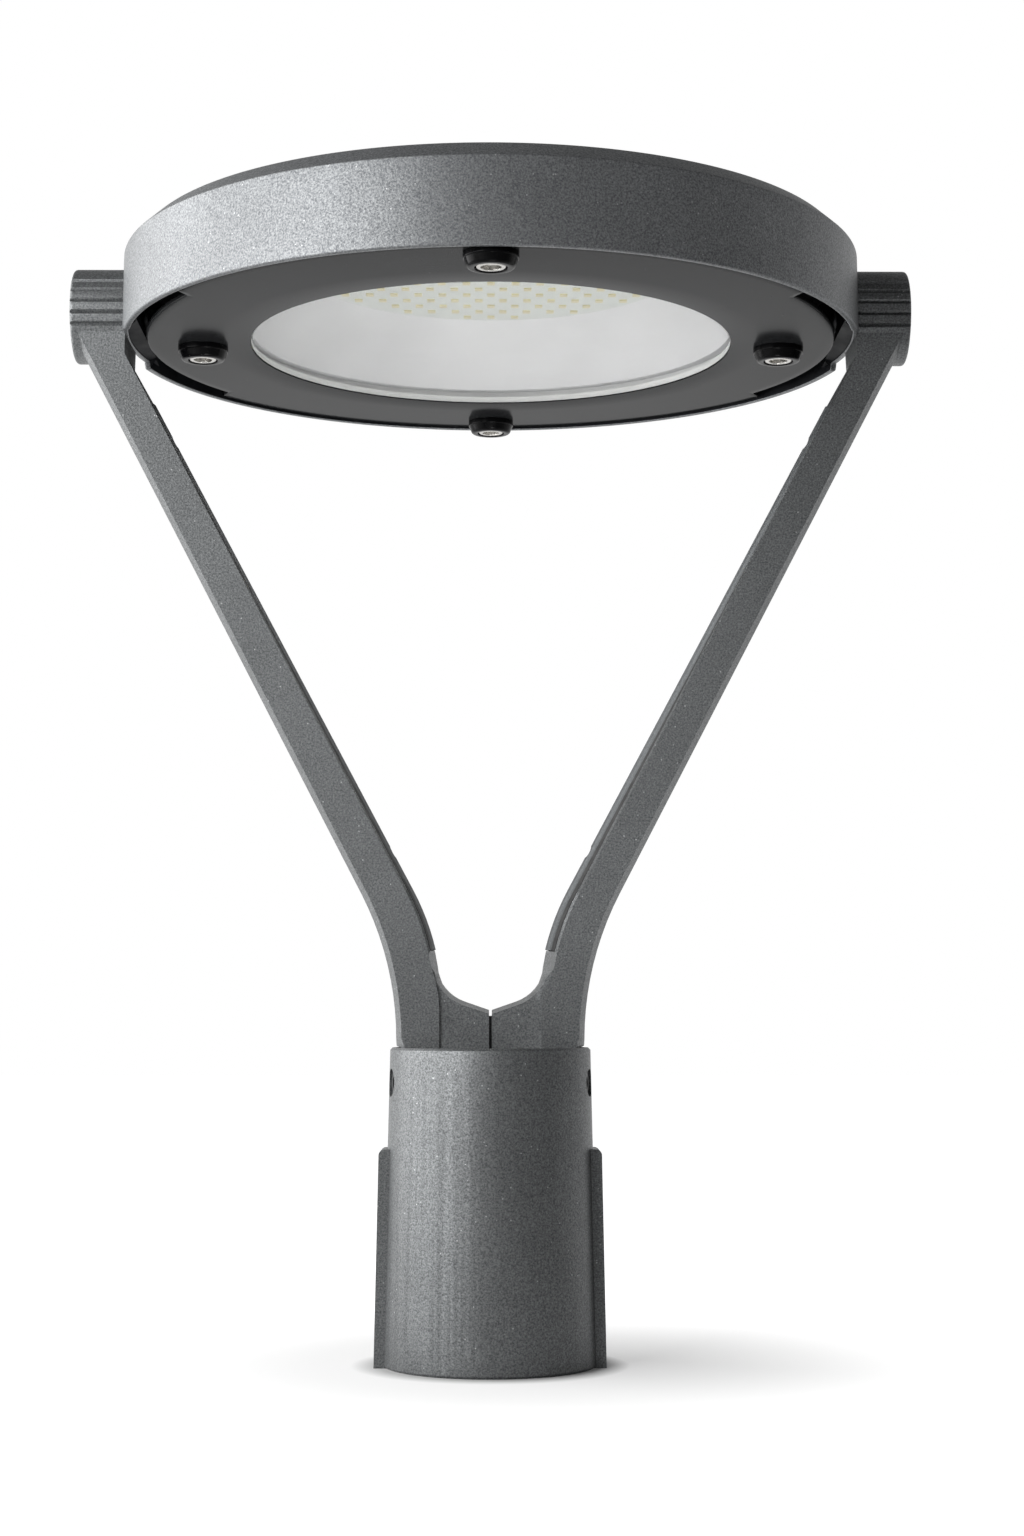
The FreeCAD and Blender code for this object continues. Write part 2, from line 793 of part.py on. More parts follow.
def add_knuckle(body):
    sketch = new_sketch(body, "XZ_Plane", rise=barrel_z)
    add_loop(sketch, [
        (seat_x, 0),
        (barrel_end_x, 0),
        (barrel_end_x, s.barrel_r - s.barrel_edge),
        (barrel_end_x - s.barrel_edge, s.barrel_r, s.barrel_edge),
        (seat_x, s.barrel_r),
    ])
    revolve(body, sketch, "H_Axis")
    # notched flutes along the front and the back of the barrel
    sketch = new_sketch(body, "YZ_Plane", lift=seat_x)
    for side in (1, -1):
        for step in range(int(number(s.flute_count))):
            tilt = step * turn(s.flute_pitch) - turn(s.flute_start)
            corners = []
            for reach, half in ((-1, 0), (1, -1), (1, 1)):
                radius = s.barrel_r + reach * s.flute_depth
                offset = half * s.flute_width
                corners.append((side * (radius * cosine(tilt) - offset * sine(tilt)),
                                barrel_z + radius * sine(tilt) + offset * cosine(tilt)))
            add_loop(sketch, corners)
    pocket(body, sketch, s.barrel_length, flip=True)
    # bore and recess for the head bolt
    recess_x = barrel_end_x - s.bolt_recess_depth
    bore = s.head_bolt_r + s.bolt_clearance
    sketch = new_sketch(body, "XZ_Plane", rise=barrel_z)
    add_loop(sketch, [
        (seat_x, 0),
        (barrel_end_x, 0),
        (barrel_end_x, s.bolt_recess_r),
        (recess_x, s.bolt_recess_r),
        (recess_x, bore),
        (seat_x, bore),
    ])
    groove(body, sketch, "H_Axis")


channel_start = turn(s.cover_start_turn) + turn(s.channel_end_turn)
channel_gap = s.cover_top_gap + s.channel_end_gap
cover_sink = s.cover_thickness - s.cover_proud
cover_screw_seat = s.cover_proud - s.cover_screw_sink - s.cover_screw_head_height


def cover_screw_places(depth):
    # two screws on each cover, at a depth counted out of the arm, pointing into the arm
    way = (cosine(inner_lean), 0, -sine(inner_lean))
    foot = on_bend(inner_centre, s.inner_bend_r + depth, inner_lean)
    head = (inner_target[0] - depth * way[0], inner_target[1] - depth * way[2])
    places = []
    for base, step in ((foot, s.cover_screw_end_gap), (head, -s.cover_top_gap - s.cover_screw_end_gap)):
        places.append(((base[0] + step * sine(inner_lean), 0, base[1] + step * cosine(inner_lean)), way))
    return places


def add_channel(body):
    # the cover lies in a shallow bed between two thin side walls, with the channel under it
    sketch = new_sketch(body, "XZ_Plane")
    bed_start = turn(s.cover_start_turn) - turn(s.cover_end_turn)
    add_loop(sketch, arm_strip(-cover_sink, 0.0, bed_start, s.cover_top_gap - s.cover_clearance))
    pocket(body, sketch, s.cover_width + 2 * s.cover_clearance, "Symmetric")
    sketch = new_sketch(body, "XZ_Plane")
    add_loop(sketch, arm_strip(-s.channel_depth, -cover_sink, channel_start, channel_gap))
    pocket(body, sketch, s.channel_width, "Symmetric")
    # way for the wires from the foot up into the channel
    low = foot_top - s.foot_lid
    high = on_bend(inner_centre, s.inner_bend_r, channel_start)[1] + s.channel_depth
    drill(body, s.wire_way_r, high - low, (foot_hole_r, 0, low), (0, 0, 1))
    deep = s.channel_depth + s.cover_screw_grip + s.hole_spare
    for point, way in cover_screw_places(0.0):
        drill(body, s.cover_screw_r, deep, point, way)


def make_arm(label, half_turn):
    body = new_body(label)
    add_bar(body)
    add_web(body)
    add_foot(body)
    add_joint(body)
    add_knuckle(body)
    add_channel(body)
    body.Placement = Placement(Vector(0, 0, 0), Rotation(Vector(0, 0, 1), half_turn))
    return node(body)


def make_cover(label, half_turn):
    body = new_body(label)
    sketch = new_sketch(body, "XZ_Plane")
    add_loop(sketch, arm_strip(-cover_sink, s.cover_proud, turn(s.cover_start_turn), s.cover_top_gap))
    pad(body, sketch, s.cover_width, "Symmetric")
    sketch = new_sketch(body, "XZ_Plane")
    start = channel_start + turn(s.tongue_end_turn)
    tongue_low = -cover_sink - s.tongue_height
    add_loop(sketch, arm_strip(tongue_low, -cover_sink, start, channel_gap + s.tongue_end_gap))
    pad(body, sketch, s.channel_width - 2 * s.tongue_clearance, "Symmetric")
    deep = s.cover_thickness + s.tongue_height + s.hole_spare
    for point, way in cover_screw_places(s.cover_proud):
        drill(body, s.cover_screw_r, deep, point, way)
        drill(body, s.cover_screw_head_r + s.screw_clearance, s.cover_proud - cover_screw_seat, point, way)
    body.Placement = Placement(Vector(0, 0, 0), Rotation(Vector(0, 0, 1), half_turn))
    return node(body)


def plain_screw(label, radius, length, head_r, head_height):
    # a pan headed screw that points up from its seat
    return turned(label, [
        (0, -head_height),
        (head_r * s.screw_crown, -head_height),
        (head_r, -head_height * s.screw_brim),
        (head_r, 0),
        (radius, 0),
        (radius, length),
        (0, length),
    ])


def make_cover_screws():
    length = s.channel_depth + s.cover_screw_grip + cover_screw_seat
    screw = plain_screw("channel_cover_screw", s.cover_screw_r, length,
                        s.cover_screw_head_r, s.cover_screw_head_height)
    places = []
    for point, way in cover_screw_places(cover_screw_seat):
        for side in (1, -1):
            places.append(((side * point[0], 0, point[2]), (side * way[0], 0, way[2])))
    group("channel_cover_screws", screw, places)


# Head

def housing_r_at(height):
    return s.housing_r - s.housing_draft * (height - s.lip_height) / (s.housing_height - s.housing_edge_rise)


def make_housing():
    rim = s.housing_r - s.housing_draft
    inside = rim - s.housing_wall
    crown_edge = rim - s.housing_edge
    crown_r = (crown_edge * crown_edge + s.crown * s.crown) / (2 * s.crown)
    body = turned("housing", [
        (0, ceiling),
        (chamber_r, ceiling),
        (chamber_r, chamber_end),
        (chamber_wall_r, chamber_end),
        (chamber_wall_r, ceiling),
        (inside - s.ceiling_edge, ceiling),
        (inside, ceiling - s.ceiling_edge),
        (s.housing_r - s.housing_wall, s.lip_height),
        (s.housing_r - s.lip_edge, s.lip_height),
        (s.housing_r, s.lip_height + s.lip_edge),
        (rim, drum_top - s.housing_edge_rise),
        (crown_edge, drum_top),
        (0, drum_top + s.crown, crown_r),
    ])
    # posts for the screws of the bezel
    sketch = new_sketch(body, "XY_Plane", lift=bezel_top)
    for x, y in knob_places:
        add_circle(sketch, x, y, s.boss_r)
    pad(body, sketch, ceiling - bezel_top)
    sketch = new_sketch(body, "XY_Plane", lift=bezel_top)
    for x, y in knob_places:
        add_circle(sketch, x, y, s.bezel_screw_r + s.screw_clearance)
    pocket(body, sketch, s.boss_hole_depth, flip=True)
    # thick pads behind the knuckles, a flat seat outside and a hole for the bolt
    pad_low = bezel_top + s.pad_lift
    pad_r = housing_r_at(pad_low + s.pad_height / 2) - s.housing_wall / 2
    half = root(pad_r * pad_r - pad_face_x * pad_face_x)
    sketch = new_sketch(body, "XY_Plane", lift=pad_low)
    add_loop(sketch, [(pad_face_x, -half), (pad_face_x, half, pad_r)])
    lump = pad(body, sketch, s.pad_height)
    wide = s.barrel_r + s.seat_clearance
    sketch = new_sketch(body, "YZ_Plane", lift=seat_x)
    add_loop(sketch, [
        (-wide, s.lip_height - s.seat_clearance),
        (wide, s.lip_height - s.seat_clearance),
        (wide, barrel_z),
        (0, barrel_z + wide, wide),
        (-wide, barrel_z, wide),
    ])
    seat = pocket(body, sketch, s.seat_sink + s.seat_clearance, flip=True)
    # the lip is cut away where the arm passes
    sketch = new_sketch(body, "YZ_Plane", lift=pad_face_x)
    add_loop(sketch, [
        (-s.notch_half, s.lip_height - s.seat_clearance),
        (s.notch_half, s.lip_height - s.seat_clearance),
        (s.notch_half, s.lip_height + s.notch_height - s.notch_corner),
        (s.notch_half - s.notch_corner, s.lip_height + s.notch_height, s.notch_corner),
        (s.notch_corner - s.notch_half, s.lip_height + s.notch_height),
        (-s.notch_half, s.lip_height + s.notch_height - s.notch_corner, s.notch_corner),
    ])
    notch = pocket(body, sketch, s.housing_r - pad_face_x, flip=True)
    turn_copies(body, [lump, seat, notch], 2)
    for side in (1, -1):
        drill(body, s.head_bolt_r + s.bolt_clearance, s.housing_r - pad_face_x,
              (side * pad_face_x, 0, barrel_z), (side, 0, 0))
    return body


def make_bezel():
    outer = s.housing_r - s.housing_wall - s.bezel_gap
    body = turned("bezel", [
        (lens_opening_r, bezel_low),
        (outer - s.bezel_edge, bezel_low),
        (outer, bezel_low + s.bezel_edge),
        (outer, bezel_top),
        (lens_opening_r, bezel_top),
    ])
    # the edge is set back beside the knuckle pads
    inner = outer - s.relief_depth
    clear = outer + s.bezel_gap
    narrow = turn(s.relief_turn)
    broad = turn(s.relief_turn + s.relief_slant)
    sketch = new_sketch(body, "XY_Plane", lift=bezel_low)
    add_loop(sketch, [
        (inner * cosine(narrow), -inner * sine(narrow)),
        (inner * cosine(narrow), inner * sine(narrow), inner),
        (clear * cosine(broad), clear * sine(broad)),
        (clear * cosine(broad), -clear * sine(broad), -clear),
    ])
    relief = pocket(body, sketch, s.bezel_thickness, flip=True)
    turn_copies(body, [relief], 2)
    sketch = new_sketch(body, "XY_Plane", lift=bezel_low)
    for x, y in knob_places:
        add_circle(sketch, x, y, s.bezel_screw_r + s.screw_clearance)
    pocket(body, sketch, s.bezel_thickness, flip=True)
    node(body)


def ring(label, inner, outer, low, high):
    return node(turned(label, [(inner, low), (outer, low), (outer, high), (inner, high)]))


def make_lens():
    edge = s.lens_edge
    node(turned("lens_glass", [
        (0, glass_low),
        (lens_r - edge, glass_low),
        (lens_r, glass_low + edge),
        (lens_r, glass_top - edge),
        (lens_r - edge, glass_top),
        (0, glass_top),
    ]))
    ring("lens_gasket", lens_opening_r + s.seal_inset, lens_r, bezel_top, glass_low)
    ring("chamber_seal", chamber_r + s.seal_inset, chamber_wall_r - s.seal_inset, bezel_top, chamber_end)


def make_light_engine(housing):
    wall = s.reflector_wall
    node(turned("reflector", [
        (lens_opening_r, glass_top),
        (lens_r, glass_top),
        (lens_r, glass_top + wall),
        (lens_opening_r + wall, glass_top + wall),
        (board_view_r + wall, board_low),
        (board_view_r, board_low),
    ]))
    board = turned("led_board", [
        (0, board_low),
        (board_view_r + s.board_margin, board_low),
        (board_view_r + s.board_margin, ceiling),
        (0, ceiling),
    ])
    screw = plain_screw("board_screw", s.board_screw_r, s.board_screw_length,
                        s.board_screw_head_r, s.board_screw_head_height)
    reach = board_view_r + s.board_screw_ring
    count = int(number(s.board_screw_count))
    places = []
    for step in range(count):
        angle = turn(360.0 * (step + 0.5) / count)
        places.append(((reach * cosine(angle), reach * sine(angle), board_low), (0, 0, 1)))
    for point, way in places:
        drill(board, s.board_screw_r, s.board_thickness, point, way)
        drill(housing, s.board_screw_r, s.board_screw_length + s.hole_spare, point, way)
    node(board)
    group("board_screws", screw, places)
    # light emitters in a close packed field under the board
    field_r = number(board_view_r - s.chip_margin)
    pitch = number(s.chip_pitch)
    rows = int(field_r / pitch) + 1
    side = number(s.chip_side)
    spare = side / 100
    chips = []
    for row in range(-2 * rows, 2 * rows + 1):
        y = row * pitch * math.sqrt(3) / 2
        for step in range(-2 * rows, 2 * rows + 1):
            x = (step + (row % 2) / 2) * pitch
            if math.hypot(x, y) < field_r + spare:
                corner = Vector(x - side / 2, y - side / 2, number(board_low - s.chip_height))
                chips.append(Part.makeBox(side, side, number(s.chip_height), corner))
    thing = doc.addObject("Part::Feature", "led_chips")
    thing.Shape = Part.makeCompound(chips)
    node(thing)


def block(label, length, width, low, high, corner):
    # an upright box with clipped corners, long way along X
    body = new_body(label)
    sketch = new_sketch(body, "XY_Plane", lift=low)
    x = length / 2
    y = width / 2
    add_loop(sketch, [
        (-x + corner, -y), (x - corner, -y), (x, -y + corner), (x, y - corner),
        (x - corner, y), (-x + corner, y), (-x, y - corner), (-x, -y + corner),
    ])
    pad(body, sketch, high - low)
    return body


def in_drum(body, angle):
    # stands a supply piece in the ring around the light chamber, its long way along the ring
    reach = number(s.housing_r - s.supply_inset)
    radians = math.radians(angle)
    point = Vector(reach * math.cos(radians), reach * math.sin(radians), 0)
    body.Placement = Placement(point, Rotation(Vector(0, 0, 1), angle + 90))
    return body


def make_supply(housing):
    driver_angle, terminal_angle, surge_angle = 45, 135, 225
    bracket_low = ceiling - s.bracket_thickness
    driver = block("led_driver", s.driver_length, s.driver_width, bracket_low - s.driver_height, bracket_low,
                   s.driver_corner)
    node(in_drum(driver, driver_angle))
    span = s.driver_length + 2 * s.bracket_tab
    bracket = block("driver_bracket", span, s.driver_width, bracket_low, ceiling, s.driver_corner)
    screw = plain_screw("driver_screw", s.driver_screw_r, s.driver_screw_length,
                        s.driver_screw_head_r, s.driver_screw_head_height)
    places = []
    for side in (1, -1):
        x = side * (s.driver_length + s.bracket_tab) / 2
        drill(bracket, s.driver_screw_r, s.bracket_thickness, (x, 0, bracket_low), (0, 0, 1))
        spot = in_drum(bracket, driver_angle).Placement.multVec(Vector(number(x), 0, number(bracket_low)))
        places.append(((spot.x, spot.y, spot.z), (0, 0, 1)))
        drill(housing, s.driver_screw_r, s.driver_screw_length + s.hole_spare, places[-1][0], (0, 0, 1))
    node(bracket)
    group("driver_screws", screw, places)
    terminal = block("terminal_block", s.terminal_length, s.terminal_width, ceiling - s.terminal_height,
                     ceiling, s.surge_edge)
    ways = int(number(s.terminal_ways))
    for step in range(ways):
        x = s.terminal_length * ((step + 0.5) / ways - 0.5)
        point = (x, -s.terminal_width / 2, ceiling - s.terminal_height / 2)
        drill(terminal, s.terminal_hole_r, s.terminal_hole_depth, point, (0, 1, 0))
    node(in_drum(terminal, terminal_angle))
    surge = turned("surge_protector", [
        (0, ceiling - s.surge_height),
        (s.surge_r - s.surge_edge, ceiling - s.surge_height),
        (s.surge_r, ceiling - s.surge_height + s.surge_edge),
        (s.surge_r, ceiling),
        (0, ceiling),
    ])
    node(in_drum(surge, surge_angle))


def make_knobs():
    hole = s.bezel_screw_r + s.screw_clearance
    low = bezel_low - s.knob_washer_thickness
    knob = turned("bezel_knob", [
        (hole, 0),
        (s.knob_flange_r, 0),
        (s.knob_flange_r, -s.knob_flange_height),
        (s.knob_root_r, -s.knob_flange_height),
        (s.knob_end_r, s.knob_edge - s.knob_height),
        (s.knob_end_r - s.knob_edge, -s.knob_height),
        (s.knob_cup_r, -s.knob_height),
        (s.knob_cup_r, -s.knob_floor),
        (hole, -s.knob_floor),
    ])
    group("bezel_knobs", knob, [((x, y, low), (0, 0, 1)) for x, y in knob_places])
    washer = turned("knob_washer", [
        (hole, 0),
        (s.knob_root_r, 0),
        (s.knob_root_r, s.knob_washer_thickness),
        (hole, s.knob_washer_thickness),
    ])
    group("knob_washers", washer, [((x, y, low), (0, 0, 1)) for x, y in knob_places])
    head = s.bezel_screw_head_height
    length = s.knob_floor + s.knob_washer_thickness + s.bezel_thickness + s.bezel_screw_grip
    screw = turned("bezel_screw", [
        (0, s.bezel_screw_socket_depth - head),
        (s.bezel_screw_socket_r, s.bezel_screw_socket_depth - head),
        (s.bezel_screw_socket_r, -head),
        (s.bezel_screw_head_r - s.bezel_screw_edge, -head),
        (s.bezel_screw_head_r, s.bezel_screw_edge - head),
        (s.bezel_screw_head_r, 0),
        (s.bezel_screw_r, 0),
        (s.bezel_screw_r, length),
        (0, length),
    ])
    group("bezel_screws", screw, [((x, y, low - s.knob_floor), (0, 0, 1)) for x, y in knob_places])


def make_head_bolts():
    head_x = barrel_end_x - s.bolt_recess_depth
    washer = s.head_washer_thickness
    nut_x = pad_face_x - washer
    end_x = nut_x - s.nut_height - s.head_bolt_spare
    head = s.head_bolt_head_height
    length = head_x + washer - end_x
    hole = s.head_bolt_r + s.screw_clearance
    bolt = turned("head_bolt", [
        (0, s.head_bolt_socket_depth - head),
        (s.head_bolt_socket_r, s.head_bolt_socket_depth - head),
        (s.head_bolt_socket_r, -head),
        (s.head_bolt_head_r, -head),
        (s.head_bolt_head_r, 0),
        (s.head_bolt_r, 0),
        (s.head_bolt_r, length),
        (0, length),
    ])
    disc = turned("head_bolt_washer", [
        (hole, 0),
        (s.head_washer_r, 0),
        (s.head_washer_r, washer),
        (hole, washer),
    ])
    nut = new_body("head_bolt_nut")
    sketch = new_sketch(nut, "XY_Plane")
    corner_r = s.nut_flat_r / cosine(turn(30))
    add_loop(sketch, [(corner_r * cosine(turn(60 * k)), corner_r * sine(turn(60 * k))) for k in range(6)])
    add_circle(sketch, 0, 0, hole)
    pad(nut, sketch, s.nut_height)
    sides = (1, -1)
    group("head_bolts", bolt, [((k * (head_x + washer), 0, barrel_z), (-k, 0, 0)) for k in sides])
    seats = [((k * x, 0, barrel_z), (k, 0, 0)) for k in sides for x in (head_x, nut_x)]
    group("head_bolt_washers", disc, seats)
    group("head_bolt_nuts", nut, [((k * (nut_x - s.nut_height), 0, barrel_z), (k, 0, 0)) for k in sides])


make_collar()
make_collar_screws()
make_stop()
make_arm("right_arm", 0)
make_arm("left_arm", 180)
make_cover("right_channel_cover", 0)
make_cover("left_channel_cover", 180)
make_cover_screws()
drum = make_housing()
make_bezel()
make_lens()
make_light_engine(drum)
make_supply(drum)
node(drum)
make_knobs()
make_head_bolts()


# Check every object, then write each piece

doc.recompute()
for thing in doc.Objects:
    if "Invalid" in thing.State or "Error" in thing.State:
        raise RuntimeError("failed: " + thing.Name)
for thing in nodes:
    if thing.Shape.isNull() or not thing.Shape.isValid():
        raise RuntimeError("bad shape: " + thing.Label)

os.makedirs("parts", exist_ok=True)
for thing in nodes:
    thing.Shape.exportStep(os.path.join("parts", thing.Label + ".step"))
    print(thing.Label, len(thing.Shape.Solids), "solids, volume", round(thing.Shape.Volume))
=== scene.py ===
import math
import bmesh
import bpy
import numpy as np
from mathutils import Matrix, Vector


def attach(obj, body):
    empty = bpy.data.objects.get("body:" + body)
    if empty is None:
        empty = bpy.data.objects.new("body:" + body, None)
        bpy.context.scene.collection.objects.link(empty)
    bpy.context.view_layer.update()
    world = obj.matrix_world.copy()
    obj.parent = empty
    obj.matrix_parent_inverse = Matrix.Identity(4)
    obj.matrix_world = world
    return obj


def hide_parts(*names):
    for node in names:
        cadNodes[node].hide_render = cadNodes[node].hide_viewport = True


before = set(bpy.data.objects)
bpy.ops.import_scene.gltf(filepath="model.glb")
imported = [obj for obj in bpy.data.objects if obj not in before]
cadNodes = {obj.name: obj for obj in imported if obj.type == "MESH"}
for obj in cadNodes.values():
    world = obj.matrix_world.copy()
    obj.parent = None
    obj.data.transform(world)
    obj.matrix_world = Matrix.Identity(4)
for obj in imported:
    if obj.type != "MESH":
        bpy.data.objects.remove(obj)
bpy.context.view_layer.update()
scene = bpy.context.scene
mm = 0.001
print("frame loaded:", len(cadNodes), "nodes")


# Meshes

# distances in metres, angles in degrees
meshing = {"merge": 1e-6, "sharpTurn": 32.0, "solidMerge": 2e-6, "solidFlat": 0.4, "solidSharp": 24.0,
           "bevelSteps": 3, "angleDigits": 7}


def gridFaces(rows, cols, closeRows, closeCols):
    # quads of a grid: each point with its neighbours one row and one column on, wrapped where closed
    row, col = np.meshgrid(np.arange(rows - (not closeRows)), np.arange(cols - (not closeCols)), indexing="ij")
    row, col = row.ravel(), col.ravel()
    nextRow, nextCol = (row + 1) % rows, (col + 1) % cols
    return np.stack([row * cols + col, nextRow * cols + col, nextRow * cols + nextCol, row * cols + nextCol], 1)


def softLine(corners, steps, closed=True):
    # line through corners (a, b, round): a round becomes an arc that is tangent to both sides of its corner
    spots = np.array([corner[:2] for corner in corners], float)
    runs = []
    for index, corner in enumerate(corners):
        spot = spots[index]
        atEnd = not closed and index in (0, len(corners) - 1)
        if len(corner) < 3 or atEnd:
            runs.append(spot[None])
            continue
        back = spots[index - 1] - spot
        ahead = spots[(index + 1) % len(spots)] - spot
        back, ahead = back / np.hypot(*back), ahead / np.hypot(*ahead)
        half = math.acos(np.clip(back @ ahead, -1, 1)) / 2
        middle = (back + ahead) / np.hypot(*(back + ahead))
        centre = spot + middle * corner[2] / math.sin(half)
        run = corner[2] / math.tan(half)
        first, last = spot + back * run - centre, spot + ahead * run - centre
        swing = math.pi - 2 * half
        t = np.linspace(0, 1, steps)[:, None]
        runs.append(centre + (np.sin((1 - t) * swing) * first + np.sin(t * swing) * last) / math.sin(swing))
    return np.concatenate(runs)


def softStep(share):
    # smooth rise from 0 to 1, level at both ends: s * s * (3 - 2 s)
    return share * share * (3 - 2 * share)


def fullTurn(steps):
    # even angles round one turn
    return np.linspace(0, 2 * math.pi, steps, endpoint=False)


def turnWithSteps(steps, fine):
    # even angles round one turn, with finer ones put in: fine, its mirror image, and both half a turn on
    extra = [sign * fine + half for sign in (1, -1) for half in (0, math.pi)]
    angles = np.concatenate([fullTurn(steps)] + extra) % (2 * math.pi)
    return np.unique(angles.round(meshing["angleDigits"]))


def turnedGrid(angles, r, z):
    # a line (r, z) turned about Z: x = r cos t, y = r sin t, one row of points for each angle t;
    # r and z may be given for each row as well
    x = np.cos(angles)[:, None] * r
    y = np.sin(angles)[:, None] * r
    return np.stack([x, y, np.broadcast_to(z, x.shape)], -1)


def joinGrids(grids):
    # turned grids put one after the other into one list; a line is closed unless both its ends are poles
    points, faces, start = [], [], 0
    for grid in grids:
        rows, cols = grid.shape[:2]
        poles = np.ptp(grid[:, [0, -1]], axis=0).max() == 0
        points.append(grid.reshape(-1, 3))
        faces.append(gridFaces(rows, cols, True, not poles) + start)
        start += rows * cols
    return np.concatenate(points), np.concatenate(faces).tolist()


def placePiece(name, mesh, material, node, sharpTurn):
    mesh.materials.clear()
    mesh.materials.append(material)
    mesh.shade_smooth()
    mesh.set_sharp_from_angle(angle=math.radians(sharpTurn))
    piece = bpy.data.objects.new(name, mesh)
    scene.collection.objects.link(piece)
    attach(piece, "root")
    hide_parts(node)
    return piece


def addPiece(name, grids, material, node):
    # grids in millimetres to a metre mesh, with its poles merged and its faces outwards
    points, faces = joinGrids(grids)
    mesh = bpy.data.meshes.new(name)
    mesh.from_pydata((points * mm).tolist(), [], faces)
    work = bmesh.new()
    work.from_mesh(mesh)
    bmesh.ops.remove_doubles(work, verts=work.verts, dist=meshing["merge"])
    bmesh.ops.recalc_face_normals(work, faces=work.faces)
    work.to_mesh(mesh)
    work.free()
    return placePiece(name, mesh, material, node, meshing["sharpTurn"])


def softCopy(name, node, material, edge, cuts=(), reshape=None):
    # a merged copy of a solid: flat faces joined, cut at depths y, points reshaped, edges rounded by a bevel
    mesh = cadNodes[node].data.copy()
    mesh.name = name
    work = bmesh.new()
    work.from_mesh(mesh)
    bmesh.ops.remove_doubles(work, verts=work.verts, dist=meshing["solidMerge"])
    bmesh.ops.dissolve_limit(work, angle_limit=math.radians(meshing["solidFlat"]), verts=work.verts,
                             edges=work.edges)
    for depth in cuts:
        bmesh.ops.bisect_plane(work, geom=work.verts[:] + work.edges[:] + work.faces[:], dist=meshing["merge"],
                               plane_co=(0, depth * mm, 0), plane_no=(0, 1, 0))
    work.to_mesh(mesh)
    work.free()
    if reshape:
        points = np.empty(len(mesh.vertices) * 3, np.float32)
        mesh.vertices.foreach_get("co", points)
        moved = reshape(points.reshape(-1, 3) / mm) * mm
        mesh.vertices.foreach_set("co", moved.astype(np.float32).ravel())
        mesh.update()
    piece = placePiece(name, mesh, material, node, meshing["solidSharp"])
    bevel = piece.modifiers.new("edge", "BEVEL")
    bevel.width = edge * mm
    bevel.segments = meshing["bevelSteps"]
    bevel.limit_method = "ANGLE"
    bevel.angle_limit = math.radians(meshing["solidSharp"])
    bevel.use_clamp_overlap = True
    bevel.harden_normals = True
    return piece


def faceValues(piece, name):
    # the centre or the normal of each face, one row of three numbers for each
    values = np.empty(len(piece.data.polygons) * 3, np.float32)
    piece.data.polygons.foreach_get(name, values)
    return values.reshape(-1, 3).astype(float)


def paintFaces(piece, materials, choice):
    # more materials on one piece: choice is 0 for its own and 1, 2 for these, face by face
    for material in materials:
        piece.data.materials.append(material)
    piece.data.polygons.foreach_set("material_index", choice.astype(np.int32))


# Materials

def linear(hexText):
    # sRGB hex to linear: c / 12.92 in the dark, ((c + 0.055) / 1.055) ** 2.4 above it
    parts = [int(hexText[k:k + 2], 16) / 255 for k in (1, 3, 5)]
    return [c / 12.92 if c <= 0.04045 else ((c + 0.055) / 1.055) ** 2.4 for c in parts] + [1.0]


def addNode(tree, kind, inputs={}, stops=(), **settings):
    # a node with its settings, its ramp stops (position, hex) and its inputs, each a number or a link
    node = tree.nodes.new(kind)
    for name, value in settings.items():
        setattr(node, name, value)
    for index, (position, hexText) in enumerate(stops):
        node.color_ramp.elements[index].position = position
        node.color_ramp.elements[index].color = linear(hexText)
    for name, value in inputs.items():
        if isinstance(value, bpy.types.NodeSocket):
            tree.links.new(value, node.inputs[name])
        else:
            node.inputs[name].default_value = value
    return node


def startMaterial(name):
    # new material; its patterns read Object coordinates
    material = bpy.data.materials.new(name)
    material.use_nodes = True
    tree = material.node_tree
    tree.nodes.clear()
    return material, tree, addNode(tree, "ShaderNodeTexCoord").outputs["Object"]


def closeMaterial(tree, surface):
    # the shader, with constants and links on its own sockets
    shader = addNode(tree, "ShaderNodeBsdfPrincipled", surface)
    addNode(tree, "ShaderNodeOutputMaterial", {"Surface": shader.outputs[0]})


def grain(size):
    # texture scale that gives features of this size, in millimetres, on metre coordinates
    return 1 / (size * mm)


